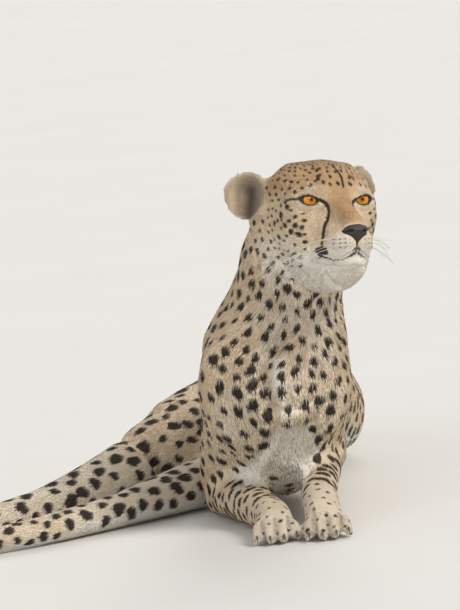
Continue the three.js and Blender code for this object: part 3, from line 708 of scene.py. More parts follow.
def ear_inside():
    """1 in the cup of each ear, 0 on its back and elsewhere."""
    inside = np.zeros(len(P))
    for side, sign, facing in (("right", 1, 50), ("left", -1, 34)):
        turn = math.radians(facing)
        opening = HEAD_AXES @ unit((sign * math.sin(turn), math.cos(turn), 0.12))
        here = OWNER == FLESH.index(f"ear_{side}")
        inside[here] = step(-0.1, 0.35, N[here] @ opening)
    return spread(inside, E, 3)


EAR_INSIDE = ear_inside()


def ear_arm():
    """Each point's place from the middle of the nearer ear, x outwards, in millimetres."""
    right, left = (mirrored(to_head([MIDDLE[f"ear_{s}"]])) for s in ("right", "left"))
    return M - np.where(H[:, :1] > 0, right, left)


EAR_ARM = ear_arm()
FROM_EAR = np.linalg.norm(EAR_ARM, axis=1)


def facing_cup():
    """1 on skin that faces as the cups of the ears do."""
    facing = N @ HEAD_AXES
    facing[:, 0] *= np.sign(H[:, 0])
    return step(-0.1, 0.4, facing @ unit((0.7, 0.7, 0.1)))


CUP = facing_cup() * step(34, 26, FROM_EAR)
NOSE_HEIGHTS = (-66, -63, -58, -54, -50, -45, -42, -40)
NOSE_WIDTHS = (2, 3.2, 8, 15, 19.5, 17.5, 12, 0)


def nose_gap():
    """How far outside the nose's leather points are, in millimetres."""
    z = M[:, 2]
    out = M[:, 0] - np.interp(z, NOSE_HEIGHTS, NOSE_WIDTHS)
    out = most(out, z - NOSE_HEIGHTS[-1], NOSE_HEIGHTS[0] - z)
    return np.where((M[:, 1] > 42) & (HEAD_SHARE > 0.4), out, FAR_OFF)


NOSE_GAP = nose_gap()


TAIL_TIP = OWNER == FLESH.index("tail_tip")


def tail_along():
    """Distance along the tail back from its tip, in metres."""
    arm = P - TAIL_LOOP
    angle = np.arctan2(arm[:, 1], arm[:, 0])
    tip = MIDDLE["tail_tip"] - TAIL_LOOP
    base = math.atan2(tip[1], tip[0])
    turned = (angle - base + math.pi) % (2 * math.pi) - math.pi
    start = np.cross(UP, tip) @ (MIDDLE["tail_tip"] - MIDDLE["tail_middle"])
    turned = turned * np.sign(start)
    last = turned[TAIL_TIP].max()
    return (last - turned) * np.linalg.norm(arm[:, :2], axis=1)


def face_paleness():
    x, y, z = M.T
    face = most(
        0.2,
        step(-48, -84, z),
        0.75 * swell(M, (22, 46, -66), (26, 36, 24)) ** 0.5,
        0.6 * step(30, 60, x) * step(-10, -60, z),
        0.55 * bump((LID_GAP - 3.6) / 4) * step(1, -3, LID_Q[:, 2]),
        0.65 * swell(M, (36, 3, 15), (20, 16, 8)),
    )
    face = face * (1 - 0.85 * step(20, 8, x) * step(2, 16, y) * step(-52, -38, z))
    return face * (1 - 0.6 * step(6, 24, z))


def paleness():
    """0 on tan hair and 1 on white."""
    b = to_body(P)
    wide = (1, 0.4, 1)  # a share of the depth, since the recess is deep
    recess = 0.95 * step(46, 30, away(b * wide, np.array(RECESS_RUN) * wide))
    recess = recess * (1 - step(20, -5, b[:, 0]) * step(0.1, 0.5, share_of("forearm")))
    recess = recess * (1 - step(0.0, 0.3, share_of("paw")))
    throat = swell(H, (-4, 20, -120), (60, 80, 66))
    pale = most(
        step(0.0, 0.8, UNDER) * by_kind(0.9, neck=0.5, chest=0.45, upper_arm=0.7),
        by_kind(
            paw=0.5, metatarsus=0.4, forearm=0.3, neck=0.3, chest=0.3, upper_arm=0.3,
            thigh=0.35, shank=0.5, tail=0.2,
        ),
        recess,
        0.8 * bump(away(b, BIB) / 26),
        step(0.0, 0.4, throat) * (UNDER > -0.3) * (1 - HEAD_SHARE),
    )
    pale = pale * (1 - HEAD_SHARE) + face_paleness() * HEAD_SHARE
    rim_light = 0.75 * step(24, 34, FROM_EAR) * step(-14, -2, EAR_ARM[:, 0])
    rim_light = rim_light + 0.55 * bump(FROM_EAR / 14)
    pale = most(
        pale,
        step(0.7, 0.95, EAR_SHARE) * np.maximum(rim_light, 0.1),
        share_of("tail") * step(0.045, 0.03, TAIL_ALONG) * TAIL_TIP,
    )
    return np.clip(pale, 0, 1)


def warmth():
    """More of the tan on the crown, the bridge of the nose, the nape and the back."""
    x, y, z = M.T
    crown = 0.85 * step(0, 26, z) * step(-115, -40, y)
    bridge_of_nose = step(26, 8, x) * step(-48, -30, z) * step(-5, 15, y)
    back = by_kind(loin=0.5, rump=0.5, thigh=0.25, chest=0.35, neck=0.3, tail=0.3, upper_arm=0.3)
    back = step(0.35, 0.9, N[:, 2]) * back
    warm = np.maximum(HEAD_SHARE * np.maximum(crown, bridge_of_nose), back)
    return spread(np.clip(warm, 0, 1), E, 6)


TAIL_ALONG = tail_along()
PALE = paleness()
WARM = warmth()

SPOT_TRIES = 60000
SPOT_CELL = 0.03  # wider than the widest gap between spots
SPOT_WAVES = ((2, 0.13), (3, 0.09), (5, 0.06))  # how often and how far the edge of a spot waves


def spotted():
    """How far outside the nearest spot each point is, in millimetres."""
    spacing, radius, stretch = column("apart") * MM, column("radius"), column("stretch")
    x, y, z = M.T
    crown = HEAD_SHARE * step(30, 50, z) * step(-90, -50, y)
    nape = HEAD_SHARE * step(-60, -110, y)
    spacing = spacing * (1 - 0.42 * crown + 0.4 * nape)
    radius = radius * (1 - 0.3 * crown + 0.5 * nape)
    radius = radius * (1 - 0.2 * step(0.5, 0.9, PALE) * (1 - HEAD_SHARE))
    muzzle = ((x < 44) & (y > -14) & (z < 16)) | ((z < -66) & (x < 46)) | (z < -84)
    bare = (HEAD_SHARE > 0.5) & (muzzle | (LID_GAP < 12))
    bare |= (EAR_SHARE > 0.35) | (CUP > 0.2)
    bare |= (PALE > 0.85) & (HEAD_SHARE < 0.5)
    bare |= (TAIL_ALONG < 0.2) & TAIL_TIP
    order = rng.permutation(np.flatnonzero(~bare))[:SPOT_TRIES]
    keys = np.floor(P / SPOT_CELL).astype(int)
    grid, chosen = {}, []
    around = list(itertools.product((-1, 0, 1), repeat=3))
    for v in order:
        a, b, c = keys[v]
        p, gap = P[v], spacing[v]
        others = (o for i, j, k in around for o in grid.get((a + i, b + j, c + k), ()))
        if any(
            (p[0] - q[0]) ** 2 + (p[1] - q[1]) ** 2 + (p[2] - q[2]) ** 2 < ((gap + s) / 2) ** 2
            for q, s in others
        ):
            continue
        grid.setdefault((a, b, c), []).append((tuple(p), gap))
        chosen.append(v)
    tree = tree_of(P)
    mark = np.full(len(P), 20.0)
    for v in chosen:
        size = radius[v] * rng.uniform(0.72, 1.22)
        waves = rng.uniform(0, 2 * math.pi, 3)
        found = np.array([f[1] for f in tree.find_range(P[v], (size * 2.2 + 4) * MM)])
        found = found[(N[found] @ N[v]) > 0.2]
        d = (P[found] - P[v]) / MM
        along, across = d @ LIE[v], d @ np.cross(N[v], LIE[v])
        angle = np.arctan2(across, along)
        swings = (far * np.sin(n * angle + w) for (n, far), w in zip(SPOT_WAVES, waves))
        edge = size * sum(swings, 1)
        longer = math.sqrt(stretch[v])
        out = np.linalg.norm([along / longer, across * longer, d @ N[v]], axis=0)
        mark[found] = np.minimum(mark[found], out - edge)
    return mark


def drawn(places, path):
    """How far points of the face are from a path that is laid on the skin."""
    face = np.flatnonzero((HEAD_SHARE > 0.15) & (H[:, 1] > -40))
    path = np.array(path, float)
    pieces = [np.linspace(a, b, 8)[:-1] for a, b in zip(path, path[1:])]
    steps = np.concatenate(pieces + [path[-1:]])
    laid = [face[np.argmin(((places[face] - q) ** 2).sum(1))] for q in steps]
    on_skin = places[laid] + np.linspace(0, 1e-4, len(laid))[:, None]
    on_skin[steps[:, 0] == 0, 0] = 0
    out = np.full(len(places), FAR_OFF)
    out[face] = away(places[face], on_skin)
    return out


CHEEK_SPOTS = [(65, -14, -8), (68, -26, -17), (71, -45, -25), (67, -42, -44)]
CHEEK_SPOTS += [(60, -17, -40), (51, -10, -45), (66, -22, -31), (56, -10, -33)]
EAR_ROOT = ((79, -94, 24), (82, -92, 6), (88, -84, -12))
MOUTH_GAP = drawn(M, MOUTH)
FLAT = (1, 0, 1)  # leaves out the depth
PHILTRUM_GAP = np.where(M[:, 1] > 45, away(M * FLAT, np.array(PHILTRUM) * FLAT), FAR_OFF)
# Lines drawn on the face, each in the mirrored or the whole frame, and half their width.
LINES = (
    (M, [(33, 25, -72), (35, 19, -70), (37, 12, -69)], 5.6),
    (H, [(-7, 12, 16), (-7, 6, 28), (-1, -8, 43)], 1.5),
    (H, [(26, 4, 27), (24, 0, 33)], 2.0),
    (H, [(22, -7, 41), (17, -9, 43)], 2.2),
    (H, [(-27, 4, 26), (-22, -3, 37)], 1.6),
)
BEHIND_EYE = [(54, -4, 1), (60, -10, 2), (66, -18, 0)]
TAIL_RINGS = (46, 23, 11)  # how far apart they are, half of that, and half their width
WHITE_TIP = 34  # how much of the tail's end has no rings, in millimetres


def pad_place(side, front, row, k):
    """A place on the whisker pad, by its row from the top and how many it is from the nose."""
    return (side + 5.5 * k, front - 2.2 * k - 1.2 * k * k, -60 - 5.5 * row + 0.6 * k)


def face_marks():
    """How far outside the dark marks of the face, ears and tail points are, in millimetres."""
    x, y, z = M.T
    upper = step(-2, 2, LID_Q[:, 2])
    along = np.clip((-5 - z) / 60, 0, 1)
    pad_spots = [pad_place(11, 62, row, k) for row in range(3) for k in range(5)]
    ears = [np.linalg.norm(P - MIDDLE[f"ear_{side}"], axis=1) for side in EYES]
    mark = least(
        np.where(LID_GAP < 90, LID_GAP - 1.5 - 1.3 * upper, FAR_OFF),
        drawn(M, TEAR) - 2.1 - 1.6 * along,
        MOUTH_GAP - 0.7 - 0.9 * step(16, 4, x) - 0.6 * step(24, 32, x),
        PHILTRUM_GAP - 1.3,
        on_face(M, BEHIND_EYE) - 1.3,
        *(drawn(places, path) - half for places, path, half in LINES),
        *(np.linalg.norm((M - spot) * DEPTH_SHARE, axis=1) - 1.0 for spot in pad_spots),
        *(np.linalg.norm(M - spot, axis=1) - 3.9 for spot in CHEEK_SPOTS),
    )
    mark = np.where(HEAD_SHARE + EAR_SHARE > 0.3, mark, FAR_OFF)
    back = EAR_SHARE * (1 - EAR_INSIDE)
    mark = np.where(back > 0.5, np.minimum(mark, least(*ears) / MM - 25), mark)
    apart, middle, half = TAIL_RINGS
    rings = half - np.abs((TAIL_ALONG / MM - WHITE_TIP) % apart - middle)
    return np.where(TAIL_TIP & (TAIL_ALONG > WHITE_TIP * MM), np.minimum(mark, rings), mark)


MARK = np.clip(np.minimum(spotted(), face_marks()), -8, 8)
EAR_GREY = np.clip(np.maximum(step(0.6, 0.95, EAR_SHARE) * EAR_INSIDE * 1.2, CUP), 0, 1)
EAR_GREY *= 1 - 0.6 * bump((away(M, EAR_ROOT) - 27) / 11)
EAR_GREY = EAR_GREY * (1 - 0.6 * bump(FROM_EAR / 17)) * (1 - 0.75 * step(26, 31, FROM_EAR))


def crown_hair_and_painted_shade():
    """Darker hair on top of the crown, and painted shade in the ears' cups and between the toes."""
    x, y, z = M.T
    out = away(M, EAR_ROOT)
    # painted shade in the cup of each ear: dark at its root, and a fainter ring along its edge
    dusk = np.maximum(CUP, EAR_INSIDE) * (bump(out / 17) + 0.4 * bump((out - 43) / 14))
    # darker hair on top of the crown
    dusk = np.maximum(dusk, 0.12 * HEAD_SHARE * step(36, 56, z) * step(70, 30, np.abs(y + 45)))
    # painted shade in the gaps between the toes
    return np.clip(np.maximum(dusk, 0.5 * clefts(P)), 0, 1)


CROWN_HAIR_AND_SHADE = spread(crown_hair_and_painted_shade(), E, 2)
FIELDS = dict(mark=MARK, pale=PALE, warm=WARM, ear=EAR_GREY, dusk=CROWN_HAIR_AND_SHADE)


def store(mesh, **values):
    for name, value in values.items():
        flat = value.ndim == 1
        layer = mesh.attributes.new(name, "FLOAT" if flat else "FLOAT_VECTOR", "POINT")
        layer.data.foreach_set("value" if flat else "vector", value.astype(np.float32).ravel())


store(skin_mesh, **FIELDS, lie=LIE, tone=np.zeros(len(P)))

# ---- tufts

COVER = 1.5  # how many tufts deep the coat is
SINK = 0.6 * MM  # how deep in the skin a tuft is rooted
LEAST_HEIGHT = 0.3 * MM  # of a tuft's points over the floor
PIECE_TUFTS = 48000  # the most in one piece
PATCH = 0.003  # the size of a tuft in the unit square of the bake
FRINGE = 0.16  # long tufts to a square millimetre, where they are thickest
BENT_FACES = [(2, 0, 1), (0, 2, 5), (0, 5, 3), (2, 1, 4), (2, 4, 5)]
BENT_FACES += [(1, 0, 3), (1, 3, 4), (3, 5, 6), (5, 4, 6), (4, 3, 6)]
STRAY = 0.16  # how far a tuft turns from the lie, in radians
skin_mesh.calc_loop_triangles()
TRIS = read(skin_mesh.loop_triangles, "vertices", 3, np.int32)


def areas():
    a, b, c = (P[TRIS[:, i]] for i in range(3))
    return np.linalg.norm(np.cross(b - a, c - a), axis=1) / 2


def atlas():
    """A cell of the unit square for each flesh node, as large as its share of the skin."""
    weight = np.bincount(OWNER[TRIS[:, 0]], areas(), len(FLESH)) + 1e-4
    cells = {}

    def split(nodes, x, y, w, h):
        if len(nodes) == 1:
            cells[nodes[0]] = (x, y, w, h)
            return
        total = weight[nodes].sum()
        half = int(np.searchsorted(np.cumsum(weight[nodes]), total / 2)) + 1
        half = max(1, min(len(nodes) - 1, half))
        part = weight[nodes[:half]].sum() / total
        wide, tall = (w * part, h) if w > h else (w, h * part)
        split(nodes[:half], x, y, wide, tall)
        if w > h:
            split(nodes[half:], x + wide, y, w * (1 - part), h)
        else:
            split(nodes[half:], x, y + tall, w, h * (1 - part))

    split(list(range(len(FLESH))), 0.0, 0.0, 1.0, 1.0)
    place = np.zeros((len(P), 2))
    for i in range(len(FLESH)):
        here = OWNER == i
        if not here.any():
            continue
        p = P[here] - P[here].mean(0)
        axes = np.linalg.svd(p[:: max(1, len(p) // 2000)], full_matrices=False)[2]
        length = p @ axes[0]
        turn = np.arctan2(p @ axes[2], p @ axes[1]) / (2 * math.pi) + 0.5
        length = (length - length.min()) / max(np.ptp(length), 1e-9)
        start, size = np.array(cells[i]).reshape(2, 2)
        inner = np.stack([turn, length], 1) * (size - 4 * PATCH)
        place[here] = start + 2 * PATCH + inner
    return place


PLACE = atlas()


def roots(weight):
    """Random places on the skin, as many to a square millimetre as the weight says."""
    wanted = areas() / MM**2 * weight[TRIS].mean(1)
    number = np.floor(wanted + rng.random(len(wanted))).astype(int)
    tri = np.repeat(np.arange(len(TRIS)), number)
    u, v = rng.random(len(tri)), rng.random(len(tri))
    over = u + v > 1
    u[over], v[over] = 1 - u[over], 1 - v[over]
    return TRIS[tri], np.stack([1 - u - v, u, v], 1)


def at(values, corners, share):
    share = share if values.ndim == 1 else share[:, :, None]
    return (values[corners] * share).sum(1)


def make_tufts(name, corners, share, length, width, lift, bend):
    """One mesh of solid tufts. Bent ones have a middle joint, and straight ones don't."""
    count = len(corners)
    root, n, lie = at(P, corners, share), unit(at(N, corners, share)), at(LIE, corners, share)
    lie = along_skin(lie, n)
    stray = rng.normal(0, STRAY, count)[:, None]
    lie = lie * np.cos(stray) + np.cross(n, lie) * np.sin(stray)
    side = np.cross(n, lie)
    length = (length * rng.uniform(0.75, 1.25, count))[:, None] * MM
    width = (width * rng.uniform(0.85, 1.15, count))[:, None] * MM
    lift = np.radians(lift * rng.uniform(0.5, 1.5, count))[:, None]
    rise, run = np.sin(lift), np.cos(lift)
    left = root + side * width / 2 - n * SINK
    right = root - side * width / 2 - n * SINK
    ridge = root + n * width * 0.14 - lie * width * 0.3
    tip = root + (lie * run + n * rise) * length
    if bend:
        mid = root + (lie * run + n * rise * 1.5) * length * 0.5
        tip = tip - n * length * 0.05 - UP * length * 0.1
        low = mid - n * width * 0.15
        joint = [low + side * width * 0.36, low - side * width * 0.36, mid + n * width * 0.15]
        points = np.stack([left, right, ridge, *joint, tip], 1)
        faces = BENT_FACES
        spots = [(-0.5, -0.5), (0.5, -0.5), (0, -0.4), (-0.3, 0), (0.3, 0), (0, 0.1), (0, 0.5)]
    else:
        points = np.stack([left, right, ridge, tip], 1)
        faces = [(2, 3, 0), (2, 1, 3), (0, 3, 1), (2, 0, 1)]
        spots = [(-0.5, -0.5), (0.5, -0.5), (0, -0.3), (0, 0.5)]
    each = points.shape[1]
    points[:, :, 2] = np.maximum(points[:, :, 2], LEAST_HEIGHT)
    faces = np.array(faces)[None] + each * np.arange(count)[:, None, None]
    mesh = new_mesh(name, points.reshape(-1, 3), faces.reshape(-1, 3))
    values = {k: np.repeat(at(v, corners, share), each) for k, v in FIELDS.items()}
    values["lie"] = np.repeat(lie, each, 0)
    values["tone"] = np.repeat(rng.uniform(-1, 1, count), each)
    store(mesh, **values)
    uv = (PLACE[corners[:, 0]][:, None] + np.array(spots)[None] * PATCH).reshape(-1, 2)
    layer = mesh.uv_layers.new(name="OFBake")
    layer.data.foreach_set("uv", uv[faces.reshape(-1)].astype(np.float32).ravel())
    made = new_object(name, mesh)
    mesh.materials.append(coat_material)
    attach(made, "root")


# The pieces of the coat, and the kinds of flesh or the limb that each covers.
REGIONS = {"head": ("head", "ear"), "neck": ("neck",), "chest": ("chest",), "back": ("loin",)}
REGIONS |= {name: (name,) for name in ("rump", *LIMBS, "tail")}


def coat():
    length, width, lift = column("length"), column("width"), column("lift")
    x, y, z = M.T
    face = HEAD_SHARE * step(-30, 20, y)
    length = length * (1 - 0.35 * face)
    width = width * (1 - 0.15 * face)
    ruff = HEAD_SHARE * step(-48, -80, z) * step(30, -10, y)
    length = length * (1 + 1.0 * ruff)
    width = width * (1 + 0.4 * ruff)
    hairy = (NOSE_GAP > 0.3) & (LID_GAP > 0.9) & (P[:, 2] > 3 * MM)
    hairy &= (MOUTH_GAP > 0.8) & (PHILTRUM_GAP > 1.2)
    density = hairy * COVER / (0.5 * length * width)
    corners, share = roots(density)
    of = OWNER[corners[:, 0]]
    for region, names in REGIONS.items():
        nodes = [i for i, n in enumerate(FLESH) if kind(n) in names or n.endswith(names)]
        here = np.flatnonzero(np.isin(of, nodes))
        pieces = max(1, -(-len(here) // PIECE_TUFTS))
        for part, some in enumerate(np.array_split(here, pieces)):
            c, s = corners[some], share[some]
            sizes = (at(values, c, s) for values in (length, width, lift))
            make_tufts(f"coat_{region}_{part + 1}", c, s, *sizes, False)
    front = step(-0.2, 0.6, UNDER)
    b = to_body(P)
    long_share = bump(away(b, FAR_BREAST) / 17) + 0.8 * bump(away(b, BREAST_GROOVE) / 15)
    long_share += 0.6 * bump(away(b, ARM_INNER) / 13) + 0.5 * swell(b, RECESS, RECESS_RADII)
    long_share += 0.5 * HEAD_SHARE * step(-62, -92, z) * step(30, 0, y)
    long_share += by_kind(loin=0.35, neck=0.2, chest=0.1) * front
    corners, share = roots(hairy * np.minimum(long_share, 1) * FRINGE)
    lengths = by_kind(10.0, chest=12.0, neck=11.0, loin=11.0, head=8.0)
    long = at(lengths, corners, share)
    lift = np.full_like(long, 8.0)
    make_tufts("coat_fringe", corners, share, long, 0.06 * long + 0.6, lift, True)


# ---- materials


def linear(*srgb):
    """A colour given as sRGB from 0 to 255."""
    c = np.array(srgb) / 255
    return (*np.where(c < 0.04045, c / 12.92, ((c + 0.055) / 1.055) ** 2.4), 1.0)


BUFF = linear(229, 205, 170)
TAN = linear(203, 165, 124)
CREAM = linear(246, 240, 228)
BLACK = linear(40, 30, 25)
EAR_GREY_COLOUR = linear(140, 124, 110)
# dark brown for the crown's darker hair and for painted shade in the ears and between the toes
CROWN_HAIR_AND_SHADE_BROWN = linear(74, 58, 46)


class Graph:
    """Adds nodes to a material, each given its inputs as sockets or constants."""

    def __init__(self, name):
        self.material = bpy.data.materials.new(name)
        self.material.use_nodes = True
        self.tree = self.material.node_tree
        self.shader = self.tree.nodes["Principled BSDF"]

    def put(self, kind, *inputs, out=0, **settings):
        made = self.tree.nodes.new("ShaderNode" + kind)
        for key, value in settings.items():
            setattr(made, key, value)
        for place, value in enumerate(inputs):
            self.give(made.inputs[place], value)
        return made.outputs[out]

    def give(self, socket, value):
        if isinstance(value, bpy.types.NodeSocket):
            self.tree.links.new(value, socket)
        elif value is not None:
            socket.default_value = value

    def maths(self, operation, *inputs):
        return self.put("Math", *inputs, operation=operation)

    def attribute(self, name, vector=False):
        return self.put("Attribute", attribute_name=name, out=1 if vector else 2)

    def mix(self, share, a, b):
        made = self.tree.nodes.new("ShaderNodeMix")
        made.data_type = "RGBA"
        for socket, value in ((made.inputs[0], share), (made.inputs[6], a), (made.inputs[7], b)):
            self.give(socket, value)
        return made.outputs[2]

    def ramp(self, value, low, high, start=0.0, end=1.0):
        return self.put("MapRange", value, low, high, start, end, interpolation_type="SMOOTHSTEP")

    def scaled(self, colour, factor):
        made = self.tree.nodes.new("ShaderNodeVectorMath")
        made.operation = "SCALE"
        self.give(made.inputs[0], colour)
        self.give(made.inputs[3], factor)
        return made.outputs[0]

    def roughen(self, height, strength, reach):
        """A bump on the surface, as high as reach in millimetres."""
        made = self.tree.nodes.new("ShaderNodeBump")
        made.inputs["Strength"].default_value = strength
        made.inputs["Distance"].default_value = reach * MM
        self.give(made.inputs["Height"], height)
        self.give(self.shader.inputs["Normal"], made.outputs[0])

    def sway(self, value, size):
        """A value between 0 and 1 turned into one to either side of 0."""
        return self.maths("MULTIPLY", self.maths("SUBTRACT", value, 0.5), size)

    def place(self):
        return self.put("TexCoord", out=3)

    def noise(self, vector, scale, detail=2.0):
        made = self.tree.nodes.new("ShaderNodeTexNoise")
        made.inputs["Scale"].default_value = scale
        made.inputs["Detail"].default_value = detail
        self.tree.links.new(vector, made.inputs["Vector"])
        return made.outputs[0]

    def finish(self, **constants):
        for name, value in constants.items():
            self.give(self.shader.inputs[name.replace("_", " ")], value)
        return self.material


def streaks(g, place, scale, reach):
    """Noise drawn out along the lie of the coat."""
    lie = g.attribute("lie", vector=True)
    total = None
    for k in (-2, -1, 0, 1, 2):
        shift = g.put("VectorMath", lie, (k * reach * MM,) * 3, operation="MULTIPLY")
        sample = g.noise(g.put("VectorMath", place, shift, operation="ADD"), scale, 0.0)
        total = sample if total is None else g.maths("ADD", total, sample)
    return g.maths("DIVIDE", total, 5.0)


def coat_colour(g, fine):
    """The markings and the painted shade, with the same nodes on the skin and on the tufts."""
    place = g.place()
    edge = g.maths("ADD", g.attribute("mark"), g.sway(g.noise(place, 420.0), 3.0))
    dark = g.ramp(edge, -0.9, 1.2, 1.0, 0.0)
    patchy = g.noise(place, 28.0, 3.0)
    pale = g.ramp(g.maths("ADD", g.attribute("pale"), g.sway(patchy, 0.25)), 0.05, 0.95)
    colour = g.mix(g.attribute("warm"), BUFF, TAN)
    colour = g.mix(pale, colour, CREAM)
    colour = g.mix(g.maths("MULTIPLY", g.attribute("ear"), 0.8), colour, EAR_GREY_COLOUR)
    # darker crown hair, and painted shade in the ears' cups and between the toes
    colour = g.mix(g.maths("MULTIPLY", g.attribute("dusk"), 0.9), colour, CROWN_HAIR_AND_SHADE_BROWN)
    tone = g.maths("MULTIPLY", g.attribute("tone"), 0.10)
    tone = g.maths("ADD", tone, g.sway(fine, 0.55))
    tone = g.maths("ADD", tone, g.sway(patchy, 0.2))
    colour = g.mix(g.maths("MULTIPLY", dark, 0.96), colour, BLACK)
    return g.scaled(colour, g.maths("ADD", 1.0, tone))


def hair_material(name, bumpy):
    g = Graph(name)
    fine = streaks(g, g.place(), 900.0, 1.5)
    colour = coat_colour(g, fine)
    if bumpy:
        g.roughen(fine, 0.7, 0.8)
    return g.finish(Base_Color=colour, Roughness=0.62, Specular_IOR_Level=0.25)


coat_material = hair_material("coat", False)
skin_material = hair_material("skin", True)


def leather_material():
    g = Graph("nose_leather")
    place = g.place()
    cells = g.put("TexVoronoi", place, None, 700.0, out=0)
    fleck = g.noise(place, 300.0, 3.0)
    colour = g.mix(fleck, linear(30, 24, 24), linear(58, 46, 44))
    g.roughen(cells, 0.5, 0.5)
    return g.finish(Base_Color=colour, Roughness=0.42)


def horn_material():
    g = Graph("claw_horn")
    place = g.place()
    drawn_out = g.put("VectorMath", place, (1.0, 1.0, 0.25), operation="MULTIPLY")
    grain = g.noise(drawn_out, 500.0, 3.0)
    colour = g.mix(grain, linear(58, 48, 42), linear(118, 104, 92))
    g.roughen(grain, 0.3, 0.3)
    return g.finish(Base_Color=colour, Roughness=0.35)


def whisker_material():
    g = Graph("whisker")
    fleck = g.noise(g.place(), 400.0, 2.0)
    colour = g.mix(fleck, linear(196, 186, 172), linear(232, 226, 214))
    return g.finish(Base_Color=colour, Roughness=0.5)


def eye_material():
    """Amber with fibres from the pupil outwards, and a dark ring round it."""
    g = Graph("eye")
    out, turn = g.attribute("out"), g.attribute("turn")
    turned, outwards = g.maths("MULTIPLY", turn, 5.0), g.maths("MULTIPLY", out, 0.16)
    fibre = g.noise(g.put("CombineXYZ", turned, outwards, 0.0), 4.0, 4.0)
    blotch = g.noise(g.place(), 160.0, 3.0)
    amber = g.mix(g.ramp(fibre, 0.35, 0.7), linear(206, 112, 14), linear(255, 180, 40))
    uneven = g.maths("ADD", out, g.maths("MULTIPLY", blotch, 2.0))
    amber = g.mix(g.ramp(uneven, 4.4, 6.6, 0.45, 0.0), amber, linear(120, 56, 14))
    amber = g.mix(g.ramp(out, 8.6, 10.4), amber, linear(60, 34, 16))
    white = g.mix(g.ramp(out, 10.0, 14.0), linear(26, 18, 14), linear(70, 54, 44))
    colour = g.mix(g.ramp(out, 9.3, 9.9), amber, white)
    colour = g.mix(g.ramp(out, 2.1, 2.7, 1.0, 0.0), colour, linear(14, 8, 6))
    wet = dict(Roughness=0.3, Specular_IOR_Level=0.2, Coat_Weight=0.35, Coat_Roughness=0.03)
    return g.finish(Base_Color=colour, **wet)


# ---- eyes, nose, claws and whiskers

GAZE = {"right": (-0.04, 1.0, -0.01), "left": (0.10, 1.0, -0.01)}
IRIS = 9.6


def make_eye(side):
    """A ball with a bulging cornea that looks along the gaze."""
    forward = HEAD_AXES @ unit(GAZE[side])
    across = unit(np.cross(forward, UP))
    above = np.cross(across, forward)
    rings, segments = 56, 72
    tilt = np.linspace(0, math.pi * 0.8, rings)
    turn = np.linspace(0, 2 * math.pi, segments, endpoint=False)
    radius = BALL * np.ones(rings) + 1.3 * bump(np.sin(tilt) * BALL / (IRIS * 1.15)) * (tilt < 1)
    out = radius * np.sin(tilt)
    spokes = np.cos(turn)[None, :, None] * across + np.sin(turn)[None, :, None] * above
    ahead = (radius * np.cos(tilt))[:, None, None] * forward
    points = EYES[side] + MM * (ahead + out[:, None, None] * spokes)
    a = np.arange(rings - 1)[:, None] * segments
    b, c = np.arange(segments), (np.arange(segments) + 1) % segments
    corners = [a + b, a + c, a + segments + c, a + segments + b]
    faces = np.stack(corners, -1)[..., ::-1].reshape(-1, 4)
    mesh = new_mesh(f"eye_ball_{side}", points.reshape(-1, 3), faces)
    with edited(mesh) as bm:
        bmesh.ops.remove_doubles(bm, verts=bm.verts, dist=1e-7)
        bmesh.ops.contextual_create(bm, geom=[e for e in bm.edges if e.is_boundary])
        bmesh.ops.recalc_face_normals(bm, faces=bm.faces)
    arm = (points_of(mesh) - EYES[side]) / MM
    x, y = arm @ across, arm @ above
    store(mesh, out=np.hypot(x, y), turn=np.abs(np.arctan2(y, x)))
    mesh.materials.append(iris_material)
    made = new_object(f"eye_ball_{side}", mesh)
    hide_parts(f"eye_{side}")
    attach(made, "root")


def make_nose():
    """The nose's leather, lifted off the skin and sunk into it at its edge."""
    bm = bmesh.new()
    bm.from_mesh(skin_mesh)
    bm.verts.ensure_lookup_table()
    drop = [f for f in bm.faces if max(NOSE_GAP[v.index] for v in f.verts) > 1.0]
    lift = np.where(NOSE_GAP > -0.6, -0.5, 0.35) * MM
    for v in bm.verts:
        if NOSE_GAP[v.index] < 3:
            v.co += Vector(N[v.index]) * float(lift[v.index])
    bmesh.ops.delete(bm, geom=drop, context="FACES")
    mesh = mesh_from(bm, "nose_leather")
    mesh.materials.clear()
    mesh.materials.append(leather_material())
    made = new_object("nose_leather", mesh)
    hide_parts("nose")
    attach(made, "root")


def make_claws():
    """The CAD's claws with rounded sides."""
    bm = bmesh.new()
    for node in CLAWS:
        bm.from_mesh(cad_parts[node].data)
    bmesh.ops.remove_doubles(bm, verts=bm.verts, dist=1e-6)
    source = new_object("claw_cage", mesh_from(bm, "claws"))
    smooth = source.modifiers.new("round", "SUBSURF")
    smooth.levels = smooth.render_levels = 2
    result = applied(source)
    dress(result, horn_material())
    made = new_object("claws_smooth", result)
    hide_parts(*CLAWS)
    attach(made, "root")


def whisker_starts():
    """The side, root and aim of each whisker in the head's frame, and its length."""
    for sign in (1, -1):
        for row, k in itertools.product(range(3), range(4)):
            aim = (0.75 + 0.08 * k, 0.28 - 0.2 * k, 0.06 - 0.14 * row)
            yield sign, pad_place(12, 60, row, k), aim, rng.uniform(24, 52)
        for k in range(2):
            aim = (0.2 + 0.3 * k, 0.5, 0.75)
            yield sign, (28 + 7 * k, 8 - 2 * k, 13), aim, rng.uniform(12, 20)


